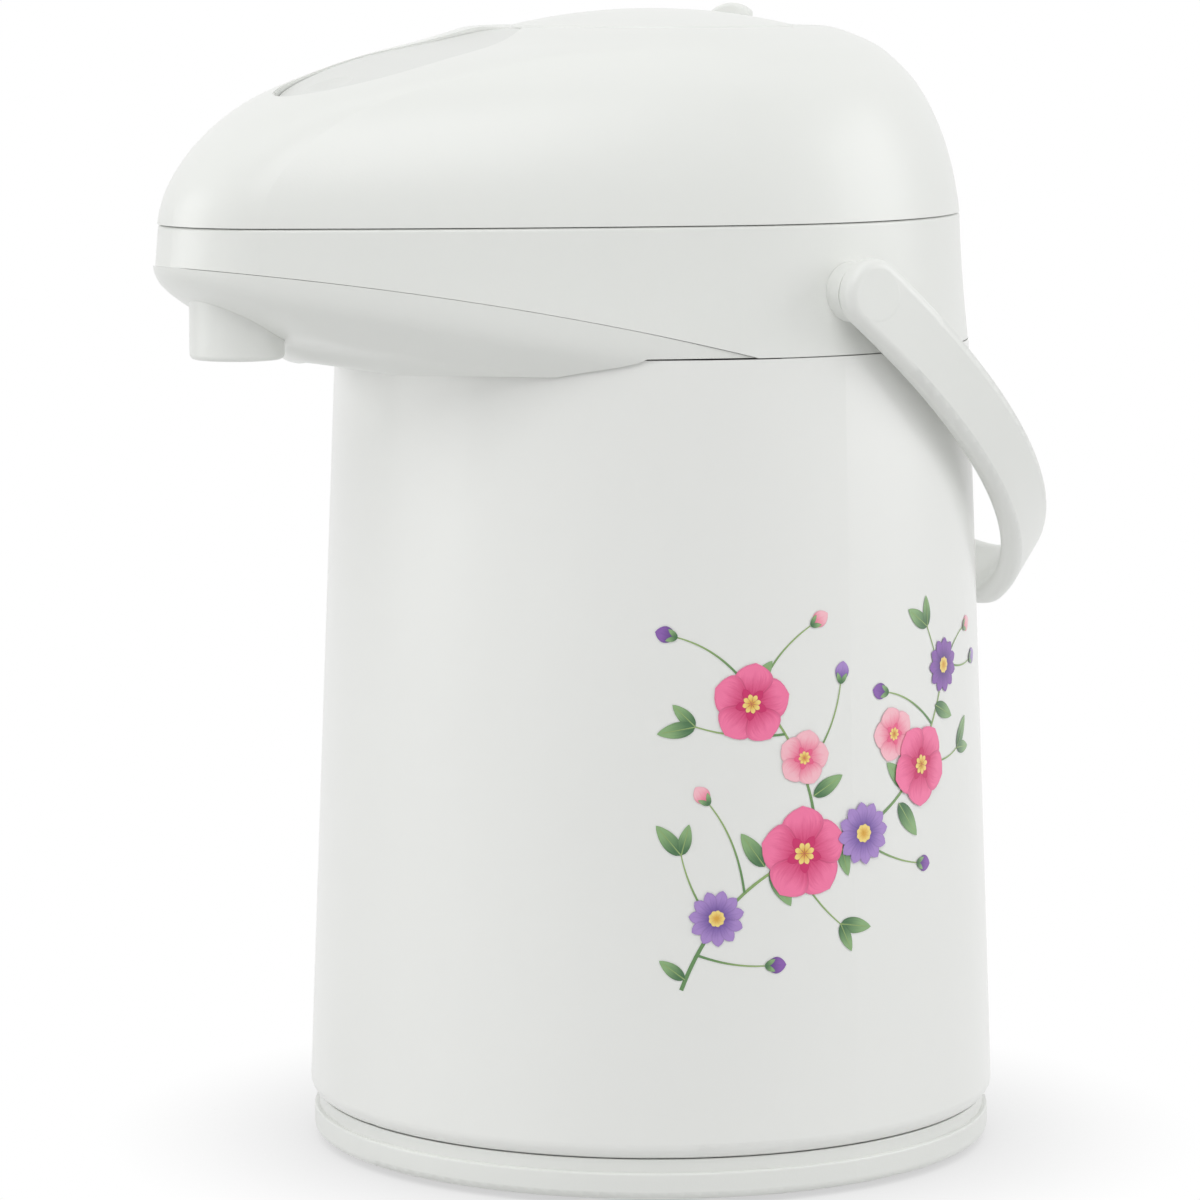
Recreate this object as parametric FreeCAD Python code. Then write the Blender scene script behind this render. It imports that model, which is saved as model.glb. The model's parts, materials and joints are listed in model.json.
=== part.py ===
import FreeCAD
import Part
import math
import os

# Pump pot, in millimetres. The pot stands on the plane Z = 0, its axis is Z and its spout points to -Y.

V = FreeCAD.Vector
UP = V(0, 0, 1)
ACROSS = V(1, 0, 0)

# Heights of the main joints between the shells
BODY_FOOT_Z = 12.2
SEAM_Z = 219.0
SPLIT_Z = SEAM_Z + 33.8
SHELL_GAP = 0.3
SPLIT_GAP = 0.12

# Round outer body, a plain cone of thin sheet
BODY_FOOT_R = 93.7
BODY_TOP_R = 85.7
BODY_WALL = 1.0
BODY_CURL_R = BODY_FOOT_R - 4.1
BODY_CORNER = 4.2

# Egg-shaped plan of the collar, beak and lid: a round rear, two long sides and a round nose
NOSE_SHARE = 0.4533
REAR_TANGENT = math.radians(70)
COLLAR_FOOT_R = BODY_TOP_R - 0.2
COLLAR_TOP_R = COLLAR_FOOT_R - 2.6
COLLAR_FOOT_REACH = COLLAR_FOOT_R + 66.1
COLLAR_TOP_REACH = COLLAR_FOOT_REACH - 2.2
COLLAR_WALL = 2.4
COLLAR_SWELL = 0.35
COLLAR_EDGE = 0.8
SPIGOT_R = BODY_TOP_R - BODY_WALL - 0.4
SPIGOT_WALL = 2.5
SPIGOT_FRONT_Y = -18.0

# Domed lid
LID_R = COLLAR_TOP_R + 0.3
LID_REACH = COLLAR_TOP_REACH + 0.6
LID_FOOT_Z = SPLIT_Z - 2.8
LID_RISE = 54.0
LID_CROWN_Z = LID_FOOT_Z + LID_RISE - 1.8
LID_CROWN_R = 45.0
LID_DISH_DEPTH = 1.3
LID_WALL = 2.4
LID_LEVELS = (-4.0, 6.0, 14.0, 24.0, 33.0, 40.0, 45.0, 48.5)
LID_SHOULDER_Z = LID_FOOT_Z + 10.0
LID_FLAT_SHARE = 0.6
LID_FLAT = LID_REACH * 0.23

# Lower edge of the collar's beak, an arc seen from the side: (forward, height) of three points
BEAK_EDGE = ((25.0, SEAM_Z), (79.0, SEAM_Z + 12.6), (151.0, SEAM_Z + 23.6))
BEAK_TILT = math.radians(10.8)
BEAK_WALL = 2.2
BEAK_FIT = 0.9
BEAK_INSET = 0.6
BEAK_REAR_Y = -24.0
BEAK_LEDGE_R = BODY_TOP_R - 8.7
BEAK_FOOT_Z = SEAM_Z - 4.8
BEAK_ROOM = 69.0
BEAK_SECTIONS = ((-6.0, -0.8, -0.5), (0.0, 0.0, 0.0), (4.0, 2.6, 0.9), (8.0, 10.4, 3.4), (11.0, 18.6, 7.0),
                 (13.5, 28.4, 10.5), (15.2, 39.4, 14.0), (16.8, 54.0, 18.5))

# Base and turntable foot
FOOT_R = 84.0
FOOT_T = 3.2
GRIP_R = 73.0
GRIP_W = 6.0
GRIP_T = 1.2
BASE_R = BODY_FOOT_R - 1.1
BASE_LIP_Z = 1.6
BASE_TOP_Z = BODY_FOOT_Z - 0.2
BASE_STEP_Z = BODY_FOOT_Z - 3.5
BASE_STEP = 1.3
BASE_DECK_Z = FOOT_T + 4.8
BASE_DECK_T = 2.5
BASE_SPIGOT_H = 12.0
RIB_R = 80.0
RIB_W = 6.0
SOCKET_R = 58.0
SOCKET_WALL = 3.0
SOCKET_FOOT_Z = BASE_DECK_Z - 2.4
SOCKET_TOP_Z = BASE_DECK_Z + 10.0
CAP_Z = FOOT_T + 2.8
CAP_T = 2.4
CAP_TOP_Z = CAP_Z + CAP_T
CAP_RIM_Z = FOOT_T + 0.7
CAP_WALL = 3.0
CAP_TOP_RIM_Z = SOCKET_TOP_Z - 2.0
HUB_R = 11.0
HUB_TOP_Z = CAP_TOP_Z + 0.4
CLIP_R = HUB_R + 5.0
CLIP_T = 1.2
SWIVEL_SCREW_R = 2.0
RUN_FIT = 0.08
PIN_FIT = 0.05

# Double glass liner
LINER_R = 75.0
LINER_BOTTOM_Z = CAP_TOP_Z + 13.6
LINER_SHOULDER_Z = SEAM_Z - 27.0
LINER_BOTTOM_ROUND = 38.0
LINER_SHOULDER_ROUND = 26.0
TIP_R = 4.5
TIP_DEPTH = 7.0
CUSHION_R = 40.0
CUSHION_HOLE_R = 20.0
NECK_ROUND = 8.0
NECK_R = 41.0
NECK_FOOT_Z = LINER_SHOULDER_Z + 9.0
NECK_TOP_Z = SEAM_Z + 0.5
GLASS_T = 1.8
VACUUM_GAP = 4.0
LIP_T = 2.0
GASKET_T = 3.0
SPACER_Z = 64.0
SPACER_H = 12.0
SPACER_TURN = 9.0

# Collar deck and the well above the mouth
DECK_Z = NECK_TOP_Z + LIP_T + GASKET_T
DECK_T = 2.5
DECK_TOP_Z = DECK_Z + DECK_T
MOUTH_R = NECK_R - 4.0
WELL_R = MOUTH_R + 2.5
WELL_TOP_Z = DECK_TOP_Z + 19.0
WELL_FLANGE_R = WELL_R + 9.1
WELL_FLANGE_T = 2.5
SCREW_R = 1.5
SCREW_HOLE_R = SCREW_R + 0.1

# Water path
RISER_Y = 19.0 - NECK_R
RISER_R = 5.0
RISER_WALL = 1.1
RISER_FOOT_Z = LINER_BOTTOM_Z + 12.0
PIPE_R = RISER_R + 0.5
PIPE_WALL = 1.3
PIPE_Z = DECK_TOP_Z + 9.0
PIPE_BEND = 10.0
PIPE_FOOT_Z = DECK_Z - 5.0
PIPE_WAY_L = 40.0
PIPE_WAY_H = 12.0
COUPLER_WALL = 2.3
GROMMET_WALL = 1.8
GROMMET_L = 6.0
NOZZLE_Y = 20.8 - COLLAR_FOOT_REACH
NOZZLE_R = 12.2
NOZZLE_WALL = 2.0
NOZZLE_FOOT_Z = SEAM_Z - 0.6
NOZZLE_SEAT_Z = PIPE_Z + 0.4
NOZZLE_LIP = 1.4
NOZZLE_FIT = 0.05
SEAL_Z = NOZZLE_FOOT_Z + 2.6
SEAL_T = 3.0

# Lid base, pump and push plate
LID_BASE_Z = SPLIT_Z - 3.0
LID_BASE_T = 2.2
LID_BASE_TOP_Z = LID_BASE_Z + LID_BASE_T
LID_BASE_GAP = 0.9
LID_BASE_RIM = 4.0
LID_BASE_RIM_W = 1.8
LID_SCREW_REAR_X = COLLAR_TOP_R - 26.9
LID_SCREW_REAR_Y = 32.0
LID_SCREW_FRONT_X = COLLAR_TOP_R - 34.9
LID_SCREW_FRONT_Y = -60.0
AIR_HOLE_R = 5.0
LID_GASKET_FIT = 0.2
PLATE_R = 37.9
PLATE_RIM_Z = LID_CROWN_Z + 0.5
PLATE_TOP_Z = LID_CROWN_Z + 4.9
PLATE_WALL = 2.2
PLATE_SKIRT_Z = LID_CROWN_Z - 10.2
PLATE_ROUND = 0.9
GUIDE_R = PLATE_R + 0.4
GUIDE_WALL = 2.2
GUIDE_LIFT = 14.0
GUIDE_FOOT_Z = LID_BASE_TOP_Z + GUIDE_LIFT
PLUNGER_DROP = 13.2
PLUNGER_Z = LID_CROWN_Z - PLUNGER_DROP
PLUNGER_T = 2.5
PLUNGER_INSET = 4.9
PLUNGER_R = PLATE_R - PLUNGER_INSET
PLUNGER_WALL = 2.0
STEM_R = 9.0
STEM_WALL = 3.0
BELLOWS_R = PLUNGER_R
BELLOWS_FOLD_DEPTH = 8.0
BELLOWS_NECK_R = BELLOWS_R - BELLOWS_FOLD_DEPTH
BELLOWS_FOLDS = 6
BELLOWS_WALL = 2.64
BELLOWS_FLANGE_T = 1.0
CLAMP_W = 3.4
CLAMP_T = 3.0
SPRING_R = 15.0
SPRING_WIRE_R = 1.0
SPRING_TURNS = 6
SPRING_FIT = 0.3

# Lock ring and its tab behind the push plate
LOCK_FIT = 0.4
LOCK_RING_Z = LID_CROWN_Z - 8.4
LOCK_RING_T = 3.0
LOCK_RING_W = 2.9
LOCK_TAB_TOP_Z = PLATE_TOP_Z + 1.1
LOCK_TAB_W = 12.0
LOCK_TAB_ARCH_R = 10.0
LOCK_TAB_ROUND = 0.9
LOCK_ANGLE = 113.0
LOCK_TRAVEL = 46.0
LOCK_SLOT_FIT = 0.8
LOCK_FLANGE_T = 2.0
LOCK_FLANGE_W = 2.8

# Release panel on the lid's front
PANEL_HALF_LENGTH = 36.0
PANEL_Y = -PLATE_R - 7.1 - PANEL_HALF_LENGTH
PANEL_HALF_WIDTH = 20.0
PANEL_GAP = 0.35
PANEL_SINK = 0.3
PANEL_WALL = 2.0
PANEL_RIM = 0.5
PANEL_PIVOT_Y = PANEL_Y + 22.0
PANEL_PIVOT_Z = LID_CROWN_Z - 8.2
PANEL_PIN_R = 1.5
PANEL_EYE_R = 3.2
PANEL_EAR_X = 9.0
PANEL_POST_X = PANEL_HALF_WIDTH - 1.5
PANEL_EAR_W = 3.6
DIMPLE_Y = PANEL_Y - 22.4
DIMPLE_R = 24.0
DIMPLE_DEPTH = 0.9
DIMPLE_SLOPE = math.radians(15)
PRONG_Y = PANEL_Y - 22.5
PRONG_X = 10.5
PRONG_W = 5.0
PRONG_T = 3.4
PRONG_NOSE = 0.5
PRONG_FOOT_Z = LID_BASE_Z - 9.8
PRONG_ROOM = 0.8
PRONG_SWING = 4.2
CATCH_Z = PRONG_FOOT_Z + 3.0
CATCH_T = 3.5
CATCH_W = 4.0
CATCH_FIT = 1.2

# Rear hinge of the lid
HINGE_Y = COLLAR_TOP_R + 2.1
HINGE_Z = SPLIT_Z + 1.2
HINGE_R = 4.0
HINGE_PIN_R = 1.6
HINGE_HALF = 6.0
HINGE_ROOM = 0.6
EAR_W = 6.0

# Carry handle
PIVOT_Y = 3.0
PIVOT_Z = SEAM_Z + 16.0
PIVOT_PIN_R = 3.0
PIVOT_PIN_IN = 5.0
PIVOT_PIN_OUT = 1.0
HANDLE_X = COLLAR_FOOT_R + 6.9
HANDLE_REACH = HANDLE_X + 52.3
HANDLE_END_R = 22.0
HANDLE_DROP = math.radians(38.0)
HANDLE_W = 6.4
HANDLE_H = 18.2
HANDLE_ROUND = 2.6
BOSS_R = 7.8
BOSS_SCREW_R = 4.2
BOSS_GAP = 0.3


def cylinder(radius, low, high, x=0.0, y=0.0):
    """An upright cylinder between two heights."""
    return Part.makeCylinder(radius, high - low, V(x, y, low))


def tube(outer, inner, low, high, x=0.0, y=0.0):
    """An upright tube between two heights."""
    return cylinder(outer, low, high, x, y).cut(cylinder(inner, low - 1, high + 1, x, y))


def cross_pin(radius, x_low, x_high, y, z):
    """A cylinder along X."""
    return Part.makeCylinder(radius, x_high - x_low, V(x_low, y, z), ACROSS)


def block(x_low, x_high, y_low, y_high, z_low, z_high):
    """A box between two values on each axis."""
    return Part.makeBox(x_high - x_low, y_high - y_low, z_high - z_low, V(x_low, y_low, z_low))


def mirrored(shape):
    """The shape together with its mirror image across the plane X = 0."""
    return Part.makeCompound([shape, shape.mirror(V(0, 0, 0), ACROSS)])


def join(first, *others):
    """One solid from pieces that meet."""
    return first.fuse(list(others)).removeSplitter()


def rounded_edges(points, closed=True):
    """Edges through points (vector, corner radius); each corner with a radius becomes a tangent arc."""
    edges = []
    count = len(points)
    ends = []
    for i, (corner, radius) in enumerate(points):
        inner = closed or 0 < i < count - 1
        if not inner or radius == 0:
            ends.append((corner, None, corner))
            continue
        back = (points[i - 1][0] - corner).normalize()
        ahead = (points[(i + 1) % count][0] - corner).normalize()
        half = back.getAngle(ahead) / 2
        middle = (back + ahead).normalize()
        run = radius / math.tan(half)
        apex = corner + middle * (radius / math.sin(half) - radius)
        ends.append((corner + back * run, apex, corner + ahead * run))
    for i in range(count):
        start, apex, finish = ends[i]
        if apex is not None:
            edges.append(Part.Arc(start, apex, finish).toShape())
        if i + 1 < count or closed:
            following = ends[(i + 1) % count][0]
            if (following - finish).Length > 1e-6:
                edges.append(Part.makeLine(finish, following))
    return edges


def turned(profile):
    """A solid of revolution from a closed profile of (radius, height) or (radius, height, rounding)."""
    points = [(V(p[0], 0, p[1]), p[2] if len(p) > 2 else 0) for p in profile]
    face = Part.Face(Part.Wire(rounded_edges(points)))
    return face.revolve(V(0, 0, 0), UP, 360)


def swept(section, path):
    """One solid tube from a closed section along a path."""
    shell = Part.BRepOffsetAPI.MakePipeShell(path)
    shell.add(section)
    shell.build()
    shell.makeSolid()
    return shell.shape()


def egg(radius, reach, z):
    """Closed egg outline of six arcs at one height: rear radius, reach of the nose along -Y."""
    nose = (radius - NOSE_SHARE * reach) / (1 - NOSE_SHARE)
    offset = reach - nose
    step = radius - nose
    sine, cosine = math.sin(REAR_TANGENT), math.cos(REAR_TANGENT)
    extra = (offset ** 2 - step ** 2) / (2 * (step - offset * cosine))
    side = radius + extra
    side_centre = V(-extra * sine, extra * cosine, z)
    nose_centre = V(0, -offset, z)
    rear = V(0, radius, z)
    tip = V(0, -reach, z)
    first = V(radius * sine, -radius * cosine, z)
    second = nose_centre + (nose_centre - side_centre) * (nose / (side - nose))
    turn = REAR_TANGENT / 2
    rear_mid = V(radius * math.cos(turn), radius * math.sin(turn), z)
    side_mid = side_centre + ((first - side_centre) + (second - side_centre)).normalize() * side
    nose_mid = nose_centre + ((second - nose_centre) + V(0, -nose, 0)).normalize() * nose

    def flip(p):
        return V(-p.x, p.y, p.z)

    arcs = [
        Part.Arc(rear, rear_mid, first),
        Part.Arc(first, side_mid, second),
        Part.Arc(second, nose_mid, tip),
        Part.Arc(tip, flip(nose_mid), flip(second)),
        Part.Arc(flip(second), flip(side_mid), flip(first)),
        Part.Arc(flip(first), flip(rear_mid), rear),
    ]
    return Part.Wire([a.toShape() for a in arcs])


def egg_loft(sections):
    """A solid through egg outlines given as (height, rear radius, nose reach)."""
    return Part.makeLoft([egg(r, reach, z) for z, r, reach in sections], True, False)


def egg_prism(radius, reach, low, high):
    """An upright egg-shaped block."""
    return Part.Face(egg(radius, reach, low)).extrude(UP * (high - low))


def collar_block(inset=0.0, low=SEAM_Z, high=SPLIT_Z - SPLIT_GAP):
    """The collar's outside as a solid block, or its inside when it is inset."""
    def section(z):
        share = (z - SEAM_Z) / (SPLIT_Z - SEAM_Z)
        swell = COLLAR_SWELL * math.sin(math.pi * share)
        radius = COLLAR_FOOT_R + (COLLAR_TOP_R - COLLAR_FOOT_R) * share - swell
        reach = COLLAR_FOOT_REACH + (COLLAR_TOP_REACH - COLLAR_FOOT_REACH) * share + swell
        return (z, radius - inset, reach - inset)
    middle = (low + high) / 2
    return egg_loft([section(low), section(middle), section(high)])


def lid_size(z, inset=0.0):
    """Rear radius and nose reach of the lid at one height; the upper part of the front is flattened."""
    rise = LID_RISE - inset
    share = (z - LID_FOOT_Z) / rise
    round_off = 1 - share ** 2
    radius = (LID_R - inset) * (1 - 0.05 * share) * round_off ** 0.19
    reach = (LID_REACH - inset) * round_off ** 0.42 - LID_FLAT * max(share - LID_FLAT_SHARE, 0)
    return radius, max(reach, radius + 0.8)


def lid_block(inset=0.0):
    """The lid's domed outside as a solid block, or its inside when it is inset."""
    crown = LID_CROWN_Z - inset
    sections = []
    for rise in LID_LEVELS:
        z = LID_FOOT_Z + rise
        above = max(z - LID_SHOULDER_Z, 0)
        level = z - inset * above / (LID_CROWN_Z - LID_SHOULDER_Z)
        radius, reach = lid_size(max(level, LID_FOOT_Z), inset)
        sections.append((level, radius, reach))
    sections.append((crown - 1.2, LID_CROWN_R + 7 - inset * 0.5, LID_CROWN_R + 10.5 - inset * 0.5))
    sections.append((crown, LID_CROWN_R - inset * 0.5, LID_CROWN_R + 1.0 - inset * 0.5))
    return egg_loft(sections)


def beak_side_cut(raise_by):
    """A wide block under the beak's lower edge; its curved top is the edge seen from the side."""
    rear, middle, front = [V(-200, -forward, z + raise_by) for forward, z in BEAK_EDGE]
    low = 150.0
    edges = [
        Part.Arc(rear, middle, front).toShape(),
        Part.makeLine(front, V(-200, -200, front.z + 9)),
        Part.makeLine(V(-200, -200, front.z + 9), V(-200, -200, low)),
        Part.makeLine(V(-200, -200, low), V(-200, rear.y, low)),
        Part.makeLine(V(-200, rear.y, low), rear),
    ]
    return Part.Face(Part.Wire(edges)).extrude(ACROSS * 400)


def panel_flat(inset):
    """A block under the panel's face: the dome's height at the panel's side, carried straight across."""
    side = lid_block(inset).slice(ACROSS, PANEL_HALF_WIDTH)[0]
    return Part.Face(side).extrude(ACROSS * -2 * PANEL_HALF_WIDTH)


def panel_outline(inset):
    """An upright oval block through the release panel's place."""
    centre = V(0, PANEL_Y, LID_FOOT_Z)
    oval = Part.Ellipse(centre, PANEL_HALF_LENGTH - inset, PANEL_HALF_WIDTH - inset).toShape()
    oval.rotate(centre, UP, 90)
    return Part.Face(Part.Wire([oval])).extrude(UP * 2 * LID_RISE)


def screws(places, head_low, head_high, head_radius, shank_radius, shank_low, shank_high):
    """Plain round-headed screws, one at each place."""
    bodies = []
    for x, y in places:
        head = cylinder(head_radius, head_low, head_high, x, y)
        shank = cylinder(shank_radius, shank_low, shank_high, x, y)
        bodies.append(join(head, shank))
    return Part.makeCompound(bodies)


def around(radius, count, start=0.0):
    """Places on a circle."""
    step = 2 * math.pi / count
    return [(radius * math.cos(start + i * step), radius * math.sin(start + i * step)) for i in range(count)]


LID_SCREW_PLACES = [
    (LID_SCREW_REAR_X, LID_SCREW_REAR_Y), (-LID_SCREW_REAR_X, LID_SCREW_REAR_Y),
    (LID_SCREW_FRONT_X, LID_SCREW_FRONT_Y), (-LID_SCREW_FRONT_X, LID_SCREW_FRONT_Y)]
WELL_SCREW_PLACES = around(WELL_FLANGE_R - 4, 4, math.radians(45))


def turntable_foot():
    """The disc that the pot turns on, with its hub."""
    disc = turned([
        (0, 0), (FOOT_R, 0, 0.8), (FOOT_R, FOOT_T, 0.8), (HUB_R, FOOT_T), (HUB_R, HUB_TOP_Z), (0, HUB_TOP_Z)])
    groove = tube(GRIP_R + GRIP_W / 2 + 0.2, GRIP_R - GRIP_W / 2 - 0.2, -1, GRIP_T)
    return disc.cut(groove).cut(cylinder(SWIVEL_SCREW_R + 0.1, FOOT_T + 0.2, HUB_TOP_Z + 1))


def foot_grip_ring():
    """Soft ring let into the underside of the foot."""
    return tube(GRIP_R + GRIP_W / 2, GRIP_R - GRIP_W / 2, 0, GRIP_T)


def swivel_clip():
    """Washer that keeps the foot's hub in the cap."""
    hole, top = SWIVEL_SCREW_R + 0.2, HUB_TOP_Z + CLIP_T
    return turned([(hole, HUB_TOP_Z), (CLIP_R, HUB_TOP_Z, 0.4), (CLIP_R, top, 0.4), (hole, top)])


def swivel_screw():
    """Screw through the washer into the hub."""
    low = HUB_TOP_Z + CLIP_T
    return screws([(0, 0)], low, low + 2.4, 2.5 * SWIVEL_SCREW_R, SWIVEL_SCREW_R, FOOT_T + 0.4, low + 0.5)


def base_ring():
    """Moulded ring under the body: stepped outer skirt, deck, bearing rib and the cap's socket."""
    skirt = FOOT_R + 1.4
    band = BASE_R - BASE_STEP
    spigot = BODY_CURL_R - 0.3
    spigot_in = spigot - 2.3
    spigot_top = BASE_TOP_Z + BASE_SPIGOT_H
    deck_top = BASE_DECK_Z + BASE_DECK_T
    socket = SOCKET_R + SOCKET_WALL
    return turned([
        (skirt, BASE_LIP_Z), (BASE_R, BASE_LIP_Z, 2.2), (BASE_R, BASE_STEP_Z, 0.5), (band, BASE_STEP_Z),
        (band, BASE_TOP_Z + 0.4, 0.4), (BODY_CURL_R + 0.7, BASE_TOP_Z), (spigot, BASE_TOP_Z),
        (spigot, spigot_top), (spigot_in, spigot_top), (spigot_in, deck_top), (socket, deck_top),
        (socket, SOCKET_TOP_Z), (SOCKET_R, SOCKET_TOP_Z), (SOCKET_R, SOCKET_FOOT_Z), (socket, SOCKET_FOOT_Z),
        (socket, BASE_DECK_Z), (RIB_R - RIB_W, BASE_DECK_Z), (RIB_R - RIB_W, FOOT_T), (RIB_R, FOOT_T),
        (RIB_R, BASE_DECK_Z), (skirt, BASE_DECK_Z)])


def bottom_cap():
    """Screw cap that closes the base and carries the liner."""
    hub = HUB_R + RUN_FIT
    outside = SOCKET_R - SHELL_GAP
    rim = SOCKET_R + SOCKET_WALL - 0.5
    rim_top = SOCKET_FOOT_Z - SHELL_GAP
    return turned([
        (hub, CAP_Z), (outside - 7.7, CAP_Z), (outside - 7.7, CAP_RIM_Z), (rim, CAP_RIM_Z, 0.5), (rim, rim_top),
        (outside, rim_top), (outside, CAP_TOP_RIM_Z), (outside - CAP_WALL, CAP_TOP_RIM_Z),
        (outside - CAP_WALL, CAP_TOP_Z), (hub, CAP_TOP_Z)])


def liner_cushion():
    """Soft ring between the cap and the liner's bottom."""
    return turned([
        (CUSHION_HOLE_R, CAP_TOP_Z), (CUSHION_R, CAP_TOP_Z, 1), (CUSHION_R - 2, LINER_BOTTOM_Z, 2),
        (CUSHION_HOLE_R, LINER_BOTTOM_Z, 1)])


def body_block(inset):
    """The outer body as a filled cone with a rounded foot, or its inside when it is inset."""
    top = SEAM_Z - SHELL_GAP
    foot = BODY_FOOT_Z + inset
    return turned([
        (0, foot), (BODY_FOOT_R - inset, foot, BODY_CORNER - inset), (BODY_TOP_R - inset, top), (0, top)])


def outer_body():
    """Thin outer shell, drawn in at its foot."""
    foot_hole = cylinder(BODY_CURL_R, 0, BODY_FOOT_Z + 2 * BODY_WALL)
    return body_block(0.0).cut(body_block(BODY_WALL)).cut(foot_hole)


def bottle_side(inset):
    """Half outline of a bottle from its bottom to its neck, inset from the liner's outside."""
    slope = (NECK_FOOT_Z - LINER_SHOULDER_Z) / (LINER_R - NECK_R)
    drop = inset * (math.sqrt(1 + slope ** 2) - slope)
    return [
        (LINER_R - inset, LINER_BOTTOM_Z + inset, LINER_BOTTOM_ROUND - inset),
        (LINER_R - inset, LINER_SHOULDER_Z - drop, LINER_SHOULDER_ROUND - inset),
        (NECK_R - inset, NECK_FOOT_Z - drop, NECK_ROUND + inset)]


def glass_liner_outer():
    """Outer glass bottle with its sealed tip below."""
    inside = list(reversed(bottle_side(GLASS_T)))
    tip = LINER_BOTTOM_Z - TIP_DEPTH
    return turned(
        [(0, tip), (TIP_R, tip, TIP_R - 1), (TIP_R, LINER_BOTTOM_Z, 1.5)] + bottle_side(0)
        + [(NECK_R, NECK_TOP_Z), (NECK_R - GLASS_T, NECK_TOP_Z)] + inside + [(0, LINER_BOTTOM_Z + GLASS_T)])


def glass_liner_inner():
    """Inner glass bottle, which holds the water; its lip rests on the outer bottle."""
    outside = GLASS_T + VACUUM_GAP
    inside = outside + GLASS_T
    lip = NECK_TOP_Z + LIP_T
    return turned(
        [(0, LINER_BOTTOM_Z + outside)] + bottle_side(outside)
        + [(NECK_R - outside, NECK_TOP_Z), (NECK_R, NECK_TOP_Z)]
        + [(NECK_R, lip, 0.8), (NECK_R - inside, lip, 0.8)]
        + list(reversed(bottle_side(inside))) + [(0, LINER_BOTTOM_Z + inside)])


def liner_spacers():
    """Three pads that keep the two bottles apart."""
    fit = 0.1
    inner = LINER_R - GLASS_T - VACUUM_GAP + fit
    outer = LINER_R - GLASS_T - fit
    ring = tube(outer, inner, SPACER_Z, SPACER_Z + SPACER_H)
    pads = []
    for i in range(3):
        wedge = Part.makeCylinder(LINER_R, SPACER_H, V(0, 0, SPACER_Z), UP, SPACER_TURN)
        wedge.rotate(V(0, 0, 0), UP, 30 + 120 * i)
        pads.append(ring.common(wedge))
    return Part.makeCompound(pads)


def liner_mouth_gasket():
    """Soft ring between the liner's lip and the collar's deck."""
    low = NECK_TOP_Z + LIP_T
    inner, outer = NECK_R - 6.5, NECK_R + 1.5
    return turned([(inner, low, 0.6), (outer, low, 0.6), (outer, DECK_Z), (inner, DECK_Z)])


def shoulder_collar():
    """Egg-shaped band over the body with its deck, spigot and hinge ears."""
    band = collar_block()
    top = band.BoundBox.ZMax
    band = band.makeFillet(COLLAR_EDGE, [e for e in band.Edges if e.BoundBox.ZMin > top - 0.01])
    band = band.cut(collar_block(COLLAR_WALL, SEAM_Z - 1, SPLIT_Z + 1))
    band = band.cut(beak_side_cut(SPLIT_GAP))
    deck = cylinder(COLLAR_FOOT_R - COLLAR_WALL - 0.4, DECK_Z, DECK_TOP_Z)
    spigot = tube(SPIGOT_R, SPIGOT_R - SPIGOT_WALL, SEAM_Z - 8, DECK_Z + 0.5)
    spigot = spigot.cut(block(-120, 120, -120, SPIGOT_FRONT_Y, SEAM_Z - 20, SPLIT_Z))
    ear_in, ear_out = HINGE_HALF + SHELL_GAP, HINGE_HALF + EAR_W
    ear = join(
        cross_pin(HINGE_R, ear_in, ear_out, HINGE_Y, HINGE_Z),
        block(ear_in, ear_out, HINGE_Y - HINGE_R + 0.2, HINGE_Y + 2.6, HINGE_Z - 2 * HINGE_R, HINGE_Z))
    ears = [ear, ear.mirror(V(0, 0, 0), ACROSS)]
    collar = band.fuse([deck, spigot] + ears).removeSplitter()
    knuckle_room = cross_pin(HINGE_R + HINGE_ROOM, -ear_in, ear_in, HINGE_Y, HINGE_Z)
    cuts = [knuckle_room, cylinder(MOUTH_R, DECK_Z - 5, DECK_TOP_Z + 5)]
    cuts.append(cross_pin(HINGE_PIN_R, -30, 30, HINGE_Y, HINGE_Z))
    cuts.append(cross_pin(PIVOT_PIN_R + PIN_FIT, -HANDLE_X, HANDLE_X, PIVOT_Y, PIVOT_Z))
    for x, y in WELL_SCREW_PLACES:
        cuts.append(cylinder(SCREW_HOLE_R, DECK_Z - 5, DECK_TOP_Z + 5, x, y))
    return collar.cut(cuts)


def mouth_well():
    """Upright ring over the mouth that the lid's gasket seals on."""
    well = turned([
        (MOUTH_R, DECK_TOP_Z), (WELL_FLANGE_R, DECK_TOP_Z, 0.5), (WELL_FLANGE_R, DECK_TOP_Z + WELL_FLANGE_T, 1),
        (WELL_R, DECK_TOP_Z + WELL_FLANGE_T, 1.5), (WELL_R, WELL_TOP_Z, 1), (MOUTH_R, WELL_TOP_Z, 1)])
    way = Part.makeCylinder(PIPE_R + GROMMET_WALL + 0.2, 14, V(0, 5 - MOUTH_R, PIPE_Z), V(0, -1, 0))
    holes = [cylinder(SCREW_HOLE_R, DECK_TOP_Z - 5, DECK_TOP_Z + 8, x, y) for x, y in WELL_SCREW_PLACES]
    return well.cut([way] + holes)


def well_screws():
    """Screws that hold the well on the deck."""
    top = DECK_TOP_Z + WELL_FLANGE_T
    return screws(WELL_SCREW_PLACES, top, top + 2, 2.8, SCREW_R, DECK_Z - 2, top + 1)


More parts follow.
